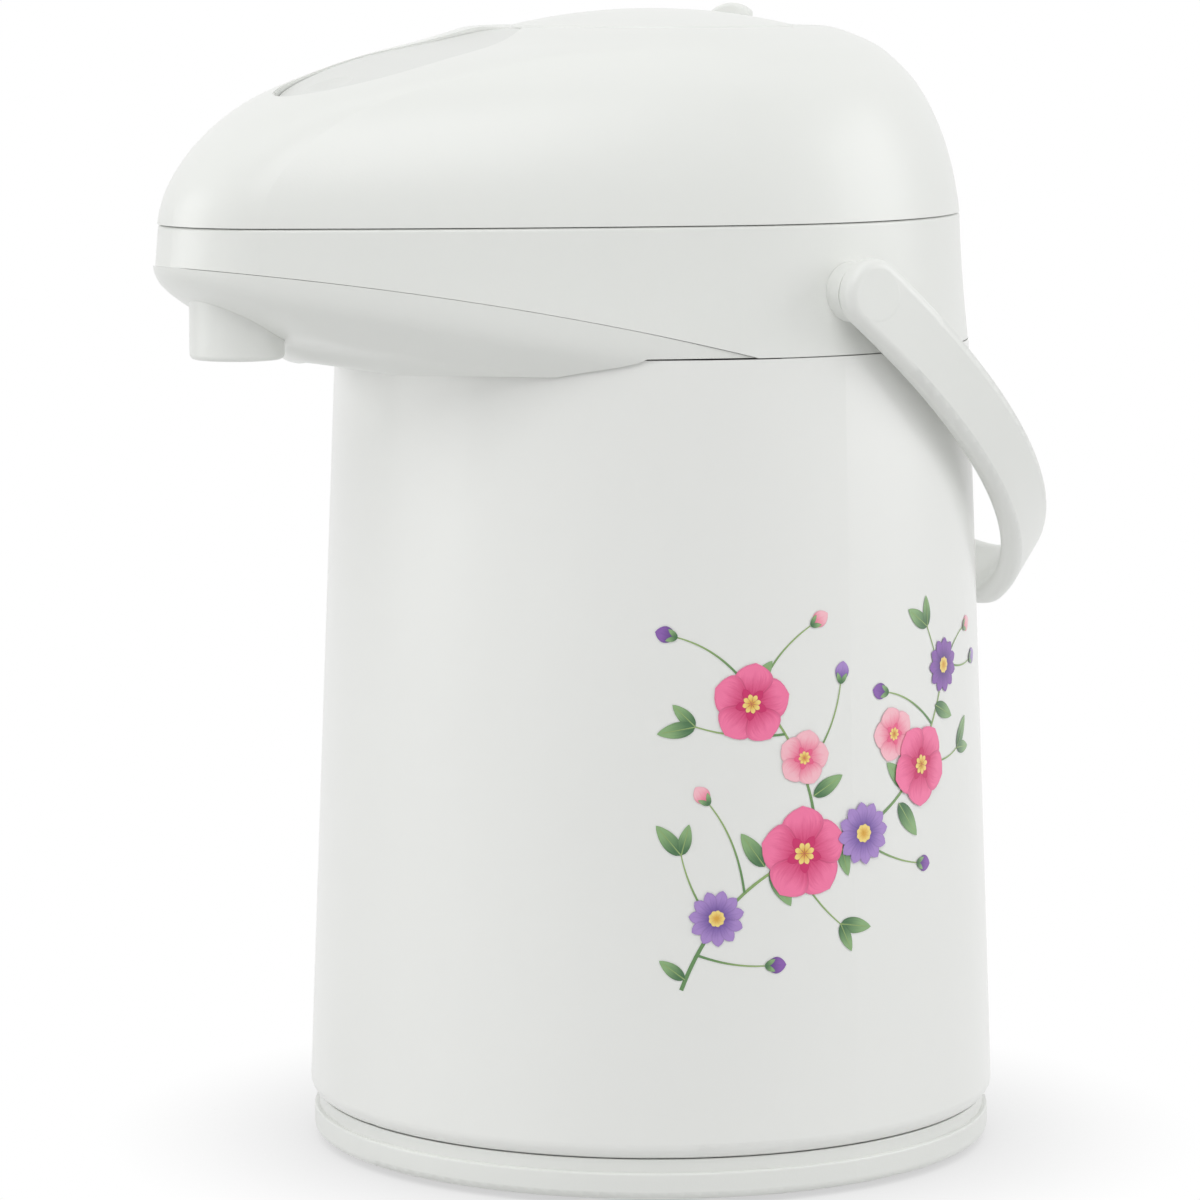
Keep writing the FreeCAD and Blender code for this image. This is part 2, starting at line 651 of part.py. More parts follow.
def beak_block(inset):
    """The underside of the beak as a rounded hull: outlines at (depth, nose inset, side inset)."""
    wires = []
    for depth, nose_in, side_in in BEAK_SECTIONS:
        level = depth - inset * max(depth, 0) / BEAK_SECTIONS[-1][0]
        reach = (COLLAR_FOOT_REACH - BEAK_INSET) / math.cos(BEAK_TILT) - nose_in - inset
        wire = egg(COLLAR_FOOT_R - BEAK_INSET - side_in - inset, reach, -level)
        wire.rotate(V(0, 0, 0), ACROSS, -math.degrees(BEAK_TILT))
        wire.translate(V(0, 0, SEAM_Z - BEAK_EDGE[0][0] * math.tan(BEAK_TILT)))
        wires.append(wire)
    return Part.makeLoft(wires, True, False)


def pipe_way():
    """Room for the delivery pipe where it comes over the nozzle's rear wall."""
    radius = PIPE_R + 0.4
    near = NOZZLE_Y + NOZZLE_WALL
    run = Part.makeCylinder(radius, PIPE_WAY_L, V(0, near, PIPE_Z), V(0, 1, 0))
    return join(run, block(-radius, radius, near, near + PIPE_WAY_L, PIPE_Z, PIPE_Z + PIPE_WAY_H))


def beak_underside():
    """Hollow hull under the beak; it wraps the front of the body and carries the nozzle."""
    low, high = SEAM_Z - BEAK_ROOM, SPLIT_Z + BEAK_ROOM
    body_room = cylinder(BODY_TOP_R + BEAK_FIT, low, SEAM_Z + 0.1)
    backing = cylinder(BODY_TOP_R + BEAK_FIT + BEAK_WALL, low, SEAM_Z + BEAK_WALL)
    floor = block(-120, 120, -200, 0, low, BEAK_FOOT_Z + BEAK_WALL)
    hollow = beak_block(BEAK_WALL).cut(backing).cut(floor)
    bore = NOZZLE_R + NOZZLE_FIT
    seat = cylinder(bore + BEAK_WALL, SEAM_Z - 19, NOZZLE_SEAT_Z, 0, NOZZLE_Y).common(beak_block(0.5))
    hull = beak_block(0.0).cut(hollow).fuse(seat)
    above = block(-120, 120, -200, 0, low, high).cut(beak_side_cut(0.0))
    cuts = [
        body_room, block(-120, 120, BEAK_REAR_Y, 120, low, high), cylinder(BEAK_LEDGE_R, low, high), above,
        cylinder(bore, SEAM_Z - 19, high, 0, NOZZLE_Y), cylinder(bore + NOZZLE_LIP, NOZZLE_SEAT_Z, high, 0, NOZZLE_Y),
        pipe_way(), block(-120, 120, -200, 0, low, BEAK_FOOT_Z)]
    for cut in cuts:
        hull = hull.cut(cut)
    return sorted(hull.Solids, key=lambda s: s.Volume)[-1]


def spout_nozzle():
    """Round shroud round the pipe's end."""
    inner = NOZZLE_R - NOZZLE_WALL
    nozzle = turned([
        (inner, NOZZLE_FOOT_Z, 0.6), (NOZZLE_R, NOZZLE_FOOT_Z, 1.4), (NOZZLE_R, NOZZLE_SEAT_Z),
        (NOZZLE_R + NOZZLE_LIP, NOZZLE_SEAT_Z), (NOZZLE_R + NOZZLE_LIP, NOZZLE_SEAT_Z + 2),
        (inner, NOZZLE_SEAT_Z + 2)])
    nozzle.translate(V(0, NOZZLE_Y, 0))
    return nozzle.cut(pipe_way())


def nozzle_seal():
    """Soft ring that centres the pipe in the nozzle."""
    return tube(NOZZLE_R - NOZZLE_WALL - 0.1, PIPE_R + 0.1, SEAL_Z, SEAL_Z + SEAL_T, 0, NOZZLE_Y)


def delivery_pipe():
    """Bent pipe from the mouth over the deck and down into the nozzle."""
    route = [
        (V(0, RISER_Y, PIPE_FOOT_Z), 0), (V(0, RISER_Y, PIPE_Z), PIPE_BEND),
        (V(0, NOZZLE_Y, PIPE_Z), PIPE_BEND), (V(0, NOZZLE_Y, NOZZLE_FOOT_Z + 1.5), 0)]
    path = Part.Wire(rounded_edges(route, closed=False))
    start = route[0][0]
    outside = Part.Wire([Part.makeCircle(PIPE_R, start, UP)])
    inside = Part.Wire([Part.makeCircle(PIPE_R - PIPE_WALL, start, UP)])
    return swept(outside, path).cut(swept(inside, path))


def pipe_coupler():
    """Sleeve that joins the riser to the pipe."""
    return tube(PIPE_R + 0.1 + COUPLER_WALL, PIPE_R + 0.1, PIPE_FOOT_Z - 9, PIPE_FOOT_Z + 7, 0, RISER_Y)


def pipe_grommet():
    """Soft ring where the pipe passes the well's wall."""
    start = V(0, 1.8 - MOUTH_R, PIPE_Z)
    ring = Part.makeCylinder(PIPE_R + 0.1 + GROMMET_WALL, GROMMET_L, start, V(0, -1, 0))
    return ring.cut(Part.makeCylinder(PIPE_R + 0.1, GROMMET_L, start, V(0, -1, 0)))


def riser_tube():
    """Straight tube down to the liner's bottom."""
    return tube(RISER_R, RISER_R - RISER_WALL, RISER_FOOT_Z, PIPE_FOOT_Z - 1, 0, RISER_Y)


def riser_foot():
    """Slotted foot on the riser's lower end."""
    foot = tube(RISER_R + 1.3, RISER_R + 0.1, RISER_FOOT_Z - 1.5, RISER_FOOT_Z + 9, 0, RISER_Y)
    slot = block(-10, 10, RISER_Y - 1.5, RISER_Y + 1.5, RISER_FOOT_Z - 5, RISER_FOOT_Z + 2)
    return foot.cut(slot)


def handle_bosses():
    """Round stubs on the collar that hold the handle's ends off the wall."""
    boss = cross_pin(BOSS_R, COLLAR_TOP_R - COLLAR_WALL, HANDLE_X - HANDLE_W / 2 - BOSS_GAP, PIVOT_Y, PIVOT_Z)
    boss = boss.cut(collar_block(-0.05)).cut(cross_pin(PIVOT_PIN_R + PIN_FIT, 0, HANDLE_X, PIVOT_Y, PIVOT_Z))
    return mirrored(sorted(boss.Solids, key=lambda s: s.CenterOfMass.x)[-1])


def handle_pivot_pins():
    """Pins through the collar's wall and the bosses into the handle's ends."""
    near, far = COLLAR_TOP_R - PIVOT_PIN_IN, HANDLE_X + PIVOT_PIN_OUT
    return mirrored(cross_pin(PIVOT_PIN_R, near, far, PIVOT_Y, PIVOT_Z))


def carry_handle():
    """Looped bar with round ends on the pivot pins."""
    spare = HANDLE_REACH ** 2 - 2 * HANDLE_REACH * HANDLE_END_R
    side = (HANDLE_X ** 2 + spare) / (2 * (HANDLE_X - HANDLE_END_R))
    side_centre = V(HANDLE_X - side, 0, 0)
    end_centre = V(0, HANDLE_REACH - HANDLE_END_R, 0)
    reach = end_centre - side_centre
    corner = side_centre + reach.normalize() * side
    start = V(HANDLE_X, 0, 0)
    angle = math.atan2(corner.y, corner.x - side_centre.x) / 2
    side_mid = side_centre + V(math.cos(angle), math.sin(angle), 0) * side
    tip = V(0, HANDLE_REACH, 0)

    def flip(p):
        return V(-p.x, p.y, p.z)

    path = Part.Wire([
        Part.Arc(start, side_mid, corner).toShape(), Part.Arc(corner, tip, flip(corner)).toShape(),
        Part.Arc(flip(corner), flip(side_mid), flip(start)).toShape()])
    w, h = HANDLE_W / 2, HANDLE_H / 2
    corners = [V(HANDLE_X - w, 0, -h), V(HANDLE_X + w, 0, -h), V(HANDLE_X + w, 0, h), V(HANDLE_X - w, 0, h)]
    bar = swept(Part.Wire(rounded_edges([(p, HANDLE_ROUND) for p in corners])), path)
    half = [(V(HANDLE_X - w, 0, 0), 0), (V(HANDLE_X - w, 0, h), HANDLE_ROUND),
            (V(HANDLE_X + w, 0, h), HANDLE_ROUND), (V(HANDLE_X + w, 0, 0), 0)]
    end = Part.Face(Part.Wire(rounded_edges(half))).revolve(V(0, 0, 0), ACROSS, 360)
    ends = [end, end.mirror(V(0, 0, 0), ACROSS)]
    handle = bar.fuse(ends)
    handle.rotate(V(0, 0, 0), ACROSS, -math.degrees(HANDLE_DROP))
    handle.translate(V(0, PIVOT_Y, PIVOT_Z))
    hole_end = HANDLE_X + PIVOT_PIN_OUT + 0.4
    hole = cross_pin(PIVOT_PIN_R + RUN_FIT, -hole_end, hole_end, PIVOT_Y, PIVOT_Z)
    return handle.cut(hole)


def hinge_pin():
    """Pin of the lid's rear hinge."""
    half = HINGE_HALF + EAR_W
    return cross_pin(HINGE_PIN_R - PIN_FIT, -half, half, HINGE_Y, HINGE_Z)


def catch_bar():
    """Bar across the beak under which the release prongs sit."""
    y = PRONG_Y - PRONG_T / 2 - CATCH_FIT
    bar = block(-90, 90, y - CATCH_W, y, CATCH_Z, CATCH_Z + CATCH_T)
    return bar.common(collar_block(COLLAR_WALL + 0.05, SEAM_Z, SPLIT_Z))


def panel_eye(x):
    """An eye on the release panel's pivot with a web that goes up to the dome."""
    low, high = PANEL_PIVOT_Y - PANEL_EYE_R, PANEL_PIVOT_Y + PANEL_EYE_R
    eye = cross_pin(PANEL_EYE_R, x, x + PANEL_EAR_W, PANEL_PIVOT_Y, PANEL_PIVOT_Z)
    return join(eye, block(x, x + PANEL_EAR_W, low, high, PANEL_PIVOT_Z, LID_CROWN_Z + 8))


def lid_shell():
    """Domed lid with the push plate's guide, screw bosses, panel opening, lock slot and hinge knuckle."""
    outside = lid_block()
    low = SPLIT_Z + SPLIT_GAP
    shell = outside.cut(lid_block(LID_WALL)).cut(block(-200, 200, -200, 200, 200, low))
    guide_out = GUIDE_R + GUIDE_WALL
    guide = tube(guide_out, GUIDE_R, GUIDE_FOOT_Z, LID_CROWN_Z - LID_DISH_DEPTH)
    flange_top = LOCK_RING_Z - SHELL_GAP
    flange = tube(guide_out + LOCK_FLANGE_W, GUIDE_R + 1, flange_top - LOCK_FLANGE_T, flange_top)
    bosses = []
    for x, y in LID_SCREW_PLACES:
        bosses.append(cylinder(BOSS_SCREW_R, LID_BASE_TOP_Z, LID_CROWN_Z, x, y).common(outside))
    post = panel_eye(PANEL_POST_X).common(outside)
    posts = [post, post.mirror(V(0, 0, 0), ACROSS)]
    knuckle = join(
        cross_pin(HINGE_R, -HINGE_HALF, HINGE_HALF, HINGE_Y, HINGE_Z),
        block(-HINGE_HALF, HINGE_HALF, HINGE_Y - HINGE_R - 0.4, HINGE_Y, low, HINGE_Z + HINGE_R))
    shell = shell.fuse([guide, flange, knuckle] + bosses + posts).removeSplitter()
    slot_in = guide_out + LOCK_FIT
    slot_out = slot_in + LOCK_RING_W + LOCK_FIT
    margin = math.degrees((LOCK_TAB_W / 2 + LOCK_SLOT_FIT) / slot_in)
    slot = Part.makeCylinder(slot_out, 40, V(0, 0, LID_CROWN_Z - 5), UP, LOCK_TRAVEL + 2 * margin)
    slot = slot.cut(cylinder(slot_in, LID_FOOT_Z, LID_CROWN_Z + 50))
    slot.rotate(V(0, 0, 0), UP, LOCK_ANGLE - margin)
    dish_low = LID_CROWN_Z - LID_DISH_DEPTH
    dish_edge = LID_CROWN_R - 0.5
    dish = turned([
        (0, dish_low), (GUIDE_R, dish_low), (dish_edge, LID_CROWN_Z), (dish_edge, LID_CROWN_Z + 5),
        (0, LID_CROWN_Z + 5)])
    rim = panel_outline(-PANEL_RIM).cut(lid_block(PANEL_RIM))
    cuts = [cylinder(GUIDE_R, LID_FOOT_Z, LID_CROWN_Z + 20), panel_outline(0.0), rim, slot, dish]
    cuts.append(cross_pin(HINGE_PIN_R, -30, 30, HINGE_Y, HINGE_Z))
    cuts.append(cross_pin(PANEL_PIN_R, -30, 30, PANEL_PIVOT_Y, PANEL_PIVOT_Z))
    for x, y in LID_SCREW_PLACES:
        cuts.append(cylinder(SCREW_HOLE_R, LID_BASE_TOP_Z - 1, LID_BASE_TOP_Z + 12, x, y))
    for side in (1, -1):
        near, far = sorted((side * HINGE_HALF, side * (HINGE_HALF + EAR_W + 0.4)))
        cuts.append(cross_pin(HINGE_R + HINGE_ROOM, near, far, HINGE_Y, HINGE_Z))
    for cut in cuts:
        shell = shell.cut(cut)
    return sorted(shell.Solids, key=lambda s: s.Volume)[-1]


def lid_base():
    """Plate that closes the lid from below."""
    radius = COLLAR_TOP_R - COLLAR_WALL - LID_BASE_GAP
    reach = COLLAR_TOP_REACH - COLLAR_WALL - LID_BASE_GAP
    plate = egg_prism(radius, reach, LID_BASE_Z, LID_BASE_TOP_Z)
    rim = egg_prism(radius, reach, LID_BASE_TOP_Z, LID_BASE_TOP_Z + LID_BASE_RIM)
    rim = rim.cut(egg_prism(radius - LID_BASE_RIM_W, reach - LID_BASE_RIM_W, LID_BASE_Z, SPLIT_Z + 10))
    base = join(plate, rim)
    low, high = LID_BASE_Z - 1, LID_BASE_TOP_Z + 0.5
    cuts = [cylinder(AIR_HOLE_R, low, high)]
    for x, y in LID_SCREW_PLACES:
        cuts.append(cylinder(SCREW_HOLE_R, low, high, x, y))
    half = PRONG_W / 2 + PRONG_ROOM
    front, rear = PRONG_Y - PRONG_T / 2 - 1, PRONG_Y + PRONG_T / 2 + PRONG_SWING
    for x in (PRONG_X, -PRONG_X):
        cuts.append(block(x - half, x + half, front, rear, low, high))
    return base.cut(cuts)


def lid_screws():
    """Screws from below that hold the lid's base to its bosses."""
    head_low, shank_top = LID_BASE_Z - 2, LID_BASE_TOP_Z + 10
    return screws(LID_SCREW_PLACES, head_low, LID_BASE_Z, 3.2, SCREW_R, head_low + 1, shank_top)


def lid_gasket():
    """Soft ring under the lid that seals on the well."""
    low = WELL_TOP_Z + LID_GASKET_FIT
    inner, outer = MOUTH_R - 0.8, WELL_R + 1.7
    return turned([(inner, low, 0.8), (outer, low, 0.8), (outer, LID_BASE_Z), (inner, LID_BASE_Z)])


def outlet_valve():
    """Soft disc under the lid's air hole."""
    return cylinder(AIR_HOLE_R + 3, LID_BASE_Z - 1.4, LID_BASE_Z)


def pump_bellows():
    """Folded bellows between the lid's base and the plunger."""
    low = LID_BASE_TOP_Z
    high = PLUNGER_Z
    first = low + BELLOWS_FLANGE_T
    last = high - BELLOWS_FLANGE_T
    pitch = (last - first) / (2 * BELLOWS_FOLDS)
    outer = []
    inner = []
    for i in range(2 * BELLOWS_FOLDS + 1):
        radius = BELLOWS_NECK_R if i % 2 == 0 else BELLOWS_R
        fold = 0 if i in (0, 2 * BELLOWS_FOLDS) else 0.5
        outer.append((radius, first + i * pitch, fold))
        inner.append((radius - BELLOWS_WALL, first + i * pitch, fold))
    hole = BELLOWS_NECK_R - BELLOWS_WALL
    profile = [(hole, low), (BELLOWS_R, low), (BELLOWS_R, first)] + outer
    profile += [(BELLOWS_R, last), (BELLOWS_R, high), (hole, high)] + list(reversed(inner))
    return turned(profile)


def bellows_clamp():
    """Ring that holds the bellows' foot on the lid's base."""
    low, high = LID_BASE_TOP_Z, LID_BASE_TOP_Z + CLAMP_T
    inner = BELLOWS_R + 0.2
    outer = inner + CLAMP_W
    return turned([(inner, low), (outer, low), (outer, high, 1), (inner, high, 0.5)])


def arc_to(start, heading, finish):
    """An arc from a point along a heading to another point, through the control point where they meet."""
    chord = finish - start
    run = chord.dot(chord) / (2 * chord.dot(heading))
    control = start + heading * run
    weight = chord.Length / 2 / run
    middle = ((start + finish) * 0.5 + control * weight) * (1 / (1 + weight))
    return Part.Arc(start, middle, finish).toShape()


def return_spring():
    """Coil spring inside the bellows, one wire swept along biarcs of a quarter turn."""
    low = LID_BASE_TOP_Z + SPRING_WIRE_R + SPRING_FIT
    high = PLUNGER_Z - SPRING_WIRE_R - SPRING_FIT
    climb = (high - low) / (2 * math.pi * SPRING_TURNS)

    def point(turn):
        return V(SPRING_R * math.cos(turn), SPRING_R * math.sin(turn), low + climb * turn)

    def heading(turn):
        return V(-SPRING_R * math.sin(turn), SPRING_R * math.cos(turn), climb).normalize()

    edges = []
    for i in range(4 * SPRING_TURNS):
        a, b = i * math.pi / 2, (i + 1) * math.pi / 2
        p, q, s, t = point(a), point(b), heading(a), heading(b)
        gap = q - p
        both = s + t
        bend = 2 * (1 - s.dot(t))
        run = (-gap.dot(both) + math.sqrt(gap.dot(both) ** 2 + bend * gap.dot(gap))) / bend
        joint = ((p + s * run) + (q - t * run)) * 0.5
        edges.append(arc_to(p, s, joint))
        edges.append(arc_to(q, t * -1, joint))
    path = Part.Wire(Part.__sortEdges__(edges))
    section = Part.Wire([Part.makeCircle(SPRING_WIRE_R, point(0), heading(0))])
    print("return spring gap between turns:", round(2 * math.pi * climb - 2 * SPRING_WIRE_R, 2), "mm")
    return swept(section, path)


def release_panel():
    """Oval press panel, flat across and sunk a little, with its pivot ears and two prongs."""
    top = panel_flat(PANEL_SINK)
    patch = top.cut(panel_flat(PANEL_SINK + PANEL_WALL)).common(panel_outline(PANEL_GAP))
    probe = Part.makeLine(V(0, DIMPLE_Y, LID_FOOT_Z + 5), V(0, DIMPLE_Y, LID_CROWN_Z))
    dimple_z = top.common(probe).BoundBox.ZMax
    lift = DIMPLE_R - DIMPLE_DEPTH
    dimple_centre = V(0, DIMPLE_Y - lift * math.sin(DIMPLE_SLOPE), dimple_z + lift * math.cos(DIMPLE_SLOPE))
    patch = patch.cut(Part.makeSphere(DIMPLE_R, dimple_centre))
    ear = panel_eye(PANEL_EAR_X)
    prong_low = PRONG_X - PRONG_W / 2
    prong_high = prong_low + PRONG_W
    front, rear = PRONG_Y - PRONG_T / 2, PRONG_Y + PRONG_T / 2
    leg = block(prong_low, prong_high, front, rear, PRONG_FOOT_Z, LID_CROWN_Z + 8)
    nose = block(prong_low, prong_high, front - PRONG_NOSE, PRONG_Y, PRONG_FOOT_Z, CATCH_Z - 0.5)
    inner_side = panel_flat(PANEL_SINK + PANEL_WALL * 0.6)
    pieces = []
    for piece in (ear, join(leg, nose)):
        piece = piece.common(inner_side)
        pieces += [piece, piece.mirror(V(0, 0, 0), ACROSS)]
    half = PRONG_X + PRONG_W
    below = block(-half, half, PANEL_Y - 60, PANEL_Y + 40, PRONG_FOOT_Z - 10, LID_FOOT_Z + 30)
    panel = patch.fuse(pieces).common(panel_outline(PANEL_GAP).fuse(below))
    panel = panel.cut(cross_pin(PANEL_PIN_R + RUN_FIT, -20, 20, PANEL_PIVOT_Y, PANEL_PIVOT_Z))
    return sorted(panel.removeSplitter().Solids, key=lambda s: s.Volume)[-1]


def release_pin():
    """Pin of the release panel."""
    half = PANEL_POST_X + PANEL_EAR_W
    return cross_pin(PANEL_PIN_R - 0.03, -half, half, PANEL_PIVOT_Y, PANEL_PIVOT_Z)


def push_plate():
    """Round domed plate with a skirt that slides in the lid's guide."""
    rise = PLATE_TOP_Z - PLATE_RIM_Z
    sphere = (PLATE_R ** 2 + rise ** 2) / (2 * rise)
    centre = PLATE_TOP_Z - sphere
    top = Part.makeSphere(sphere, V(0, 0, centre)).common(cylinder(PLATE_R, PLATE_SKIRT_Z, PLATE_TOP_Z + 5))
    under = Part.makeSphere(sphere - PLATE_WALL, V(0, 0, centre))
    under = under.common(cylinder(PLATE_R - PLATE_WALL, PLATE_SKIRT_Z - 1, PLATE_TOP_Z + 5))
    plate = top.cut(under)
    rim = []
    for edge in plate.Edges:
        box = edge.BoundBox
        if abs(box.ZMin - PLATE_RIM_Z) < 0.1 and box.XLength > 2 * PLATE_R - 1:
            rim.append(edge)
    return plate.makeFillet(PLATE_ROUND, rim)


def plunger():
    """Disc under the push plate that drives the bellows, with a stem up to the plate."""
    rise = PLATE_TOP_Z - PLATE_RIM_Z
    sphere = (PLATE_R ** 2 + rise ** 2) / (2 * rise)
    disc = cylinder(PLUNGER_R, PLUNGER_Z, PLUNGER_Z + PLUNGER_T)
    ring = tube(PLUNGER_R, PLUNGER_R - PLUNGER_WALL, PLUNGER_Z, PLATE_TOP_Z)
    stem = tube(STEM_R, STEM_R - STEM_WALL, PLUNGER_Z, PLATE_TOP_Z)
    inside = Part.makeSphere(sphere - PLATE_WALL - 0.05, V(0, 0, PLATE_TOP_Z - sphere))
    hole = cylinder((STEM_R - STEM_WALL) / 2, PLUNGER_Z - 1, PLUNGER_Z + PLUNGER_T + 1)
    return join(disc, ring, stem).common(inside).cut(hole)


def intake_valve():
    """Soft flap over the plunger's air hole."""
    low = PLUNGER_Z + PLUNGER_T
    return cylinder(STEM_R - STEM_WALL - 0.4, low, low + 1.2)


def lock_ring():
    """Turning ring round the guide with the tab that stands behind the push plate."""
    inner = GUIDE_R + GUIDE_WALL + LOCK_FIT
    outer = inner + LOCK_RING_W
    ring = tube(outer, inner, LOCK_RING_Z, LOCK_RING_Z + LOCK_RING_T)
    tab = tube(outer, inner + 0.4, LOCK_RING_Z, LOCK_TAB_TOP_Z)
    tab = tab.common(block(inner - 3, outer + 3, -LOCK_TAB_W / 2, LOCK_TAB_W / 2, LOCK_RING_Z, LOCK_TAB_TOP_Z))
    arch_z = LOCK_TAB_TOP_Z - LOCK_TAB_ARCH_R
    tab = tab.common(Part.makeCylinder(LOCK_TAB_ARCH_R, 2 * outer, V(0, 0, arch_z), ACROSS))
    shoulder = LOCK_TAB_TOP_Z - LOCK_TAB_W / 2
    tab = tab.makeFillet(LOCK_TAB_ROUND, [e for e in tab.Edges if e.BoundBox.ZMin > shoulder])
    ring = join(ring, tab)
    ring.rotate(V(0, 0, 0), UP, LOCK_ANGLE)
    return ring


NODES = {
    "turntable_foot": turntable_foot, "foot_grip_ring": foot_grip_ring, "swivel_clip": swivel_clip,
    "swivel_screw": swivel_screw, "base_ring": base_ring, "bottom_cap": bottom_cap,
    "liner_cushion": liner_cushion, "outer_body": outer_body, "glass_liner_outer": glass_liner_outer,
    "glass_liner_inner": glass_liner_inner, "liner_spacers": liner_spacers,
    "liner_mouth_gasket": liner_mouth_gasket, "shoulder_collar": shoulder_collar, "mouth_well": mouth_well,
    "well_screws": well_screws, "beak_underside": beak_underside, "spout_nozzle": spout_nozzle,
    "nozzle_seal": nozzle_seal, "delivery_pipe": delivery_pipe, "pipe_coupler": pipe_coupler,
    "pipe_grommet": pipe_grommet, "riser_tube": riser_tube, "riser_foot": riser_foot,
    "handle_bosses": handle_bosses, "handle_pivot_pins": handle_pivot_pins, "carry_handle": carry_handle,
    "hinge_pin": hinge_pin, "catch_bar": catch_bar, "lid_shell": lid_shell, "lid_base": lid_base,
    "lid_screws": lid_screws, "lid_gasket": lid_gasket, "outlet_valve": outlet_valve,
    "pump_bellows": pump_bellows, "bellows_clamp": bellows_clamp, "return_spring": return_spring,
    "release_panel": release_panel, "release_pin": release_pin, "push_plate": push_plate,
    "plunger": plunger, "intake_valve": intake_valve, "lock_ring": lock_ring,
}

os.makedirs("parts", exist_ok=True)
for name, make in NODES.items():
    shape = make()
    print(name, len(shape.Solids), "solids", round(shape.Volume / 1000, 2), "cm3", shape.isValid())
    shape.exportStep("parts/" + name + ".step")
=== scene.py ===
# %% [markdown]
# # A white pump pot
# This lesson dresses the imported model of a pump pot: a tapered body on a turning foot, a beaked collar
# with a nozzle, a domed lid with a round push plate and an oval release panel, and a swinging handle.
# The imported solids give every place and size, so this first cell only loads them.

# %% Load the imported model
import json
import math

import bmesh
import bpy
from mathutils import Matrix, Vector


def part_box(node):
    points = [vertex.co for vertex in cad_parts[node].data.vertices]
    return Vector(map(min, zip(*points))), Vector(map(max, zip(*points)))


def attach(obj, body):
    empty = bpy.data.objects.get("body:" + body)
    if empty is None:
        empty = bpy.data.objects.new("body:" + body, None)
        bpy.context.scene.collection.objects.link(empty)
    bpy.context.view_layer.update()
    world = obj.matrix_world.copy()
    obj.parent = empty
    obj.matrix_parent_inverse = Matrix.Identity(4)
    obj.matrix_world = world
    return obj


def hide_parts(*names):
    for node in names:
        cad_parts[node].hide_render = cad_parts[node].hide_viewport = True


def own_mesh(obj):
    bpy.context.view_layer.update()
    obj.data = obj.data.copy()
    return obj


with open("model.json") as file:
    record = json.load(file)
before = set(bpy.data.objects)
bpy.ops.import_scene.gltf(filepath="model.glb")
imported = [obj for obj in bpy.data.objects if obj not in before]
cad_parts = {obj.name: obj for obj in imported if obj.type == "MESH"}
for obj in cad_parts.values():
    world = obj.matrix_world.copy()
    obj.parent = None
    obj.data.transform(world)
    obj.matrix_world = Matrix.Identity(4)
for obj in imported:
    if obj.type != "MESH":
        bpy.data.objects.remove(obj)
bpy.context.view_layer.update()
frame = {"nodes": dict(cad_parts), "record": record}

# %% [markdown]
# ## Small helpers for node materials
# Every finish here is made of nodes. Writing each link by hand hides what a material does, so three short
# helpers add a node, link two sockets and start a new material. They could be left out, at the price of
# longer cells.

# %% Node helpers
def add_node(tree, kind, **settings):
    """A new node; each setting is a property of the node or the value of one of its inputs."""
    node = tree.nodes.new(kind)
    for name, value in settings.items():
        if hasattr(node, name):
            setattr(node, name, value)
        else:
            node.inputs[name.replace("_", " ")].default_value = value
    return node


def link(tree, source, socket):
    """Joins an output to an input."""
    tree.links.new(source, socket)


def new_finish(name, **values):
    """A material with its Principled shader; the values go on the shader's own sockets."""
    finish = bpy.data.materials.new(name)
    finish.use_nodes = True
    shader = finish.node_tree.nodes["Principled BSDF"]
    for key, value in values.items():
        shader.inputs[key.replace("_", " ")].default_value = value
    return finish, finish.node_tree, shader


print("helpers ready")

# %% [markdown]
# ## Floor and white surround
# The pot was photographed on white paper, so the floor has to be white to the camera and still catch the
# pot's shadow. More light would wash out the pot. Instead, the Light Path node lets the camera, mirrors and
# glass see plain white, dimmed near the pot by ambient occlusion, while all other light meets a pale floor.

# %% Floor
FLOOR_HALF = 12.0
PAPER_TONE = (0.76, 0.76, 0.76, 1)
SHADE_REACH, DEEPEST_SHADE = 0.06, 0.6
WHITE = (1, 1, 1, 1)

floor_mesh = bmesh.new()
bmesh.ops.create_grid(floor_mesh, x_segments=1, y_segments=1, size=FLOOR_HALF)
floor_data = bpy.data.meshes.new("studio_floor")
floor_mesh.to_mesh(floor_data)
floor_mesh.free()
floor = bpy.data.objects.new("studio_floor", floor_data)
bpy.context.scene.collection.objects.link(floor)


def seen_directly(tree):
    """1 for rays from the camera, from a reflection or through glass, and 0 for all other light."""
    path = add_node(tree, "ShaderNodeLightPath")
    total = add_node(tree, "ShaderNodeMath", operation="ADD")
    link(tree, path.outputs["Is Camera Ray"], total.inputs[0])
    link(tree, path.outputs["Is Glossy Ray"], total.inputs[1])
    both = add_node(tree, "ShaderNodeMath", operation="ADD", use_clamp=True)
    link(tree, total.outputs[0], both.inputs[0])
    link(tree, path.outputs["Is Transmission Ray"], both.inputs[1])
    return both.outputs[0]


paper, tree, shader = new_finish("studio_paper", Base_Color=PAPER_TONE, Roughness=0.9)
shade = add_node(tree, "ShaderNodeAmbientOcclusion", samples=8, Distance=SHADE_REACH)
ramp = add_node(tree, "ShaderNodeMapRange", clamp=True)
ramp.inputs["To Min"].default_value = DEEPEST_SHADE
link(tree, shade.outputs["AO"], ramp.inputs["Value"])
glow = add_node(tree, "ShaderNodeEmission", Color=WHITE)
link(tree, ramp.outputs["Result"], glow.inputs["Strength"])
choice = add_node(tree, "ShaderNodeMixShader")
link(tree, seen_directly(tree), choice.inputs["Fac"])
link(tree, shader.outputs["BSDF"], choice.inputs[1])
link(tree, glow.outputs["Emission"], choice.inputs[2])
link(tree, choice.outputs["Shader"], tree.nodes["Material Output"].inputs["Surface"])
floor_data.materials.append(paper)
print("floor:", 2 * FLOOR_HALF, "m across")

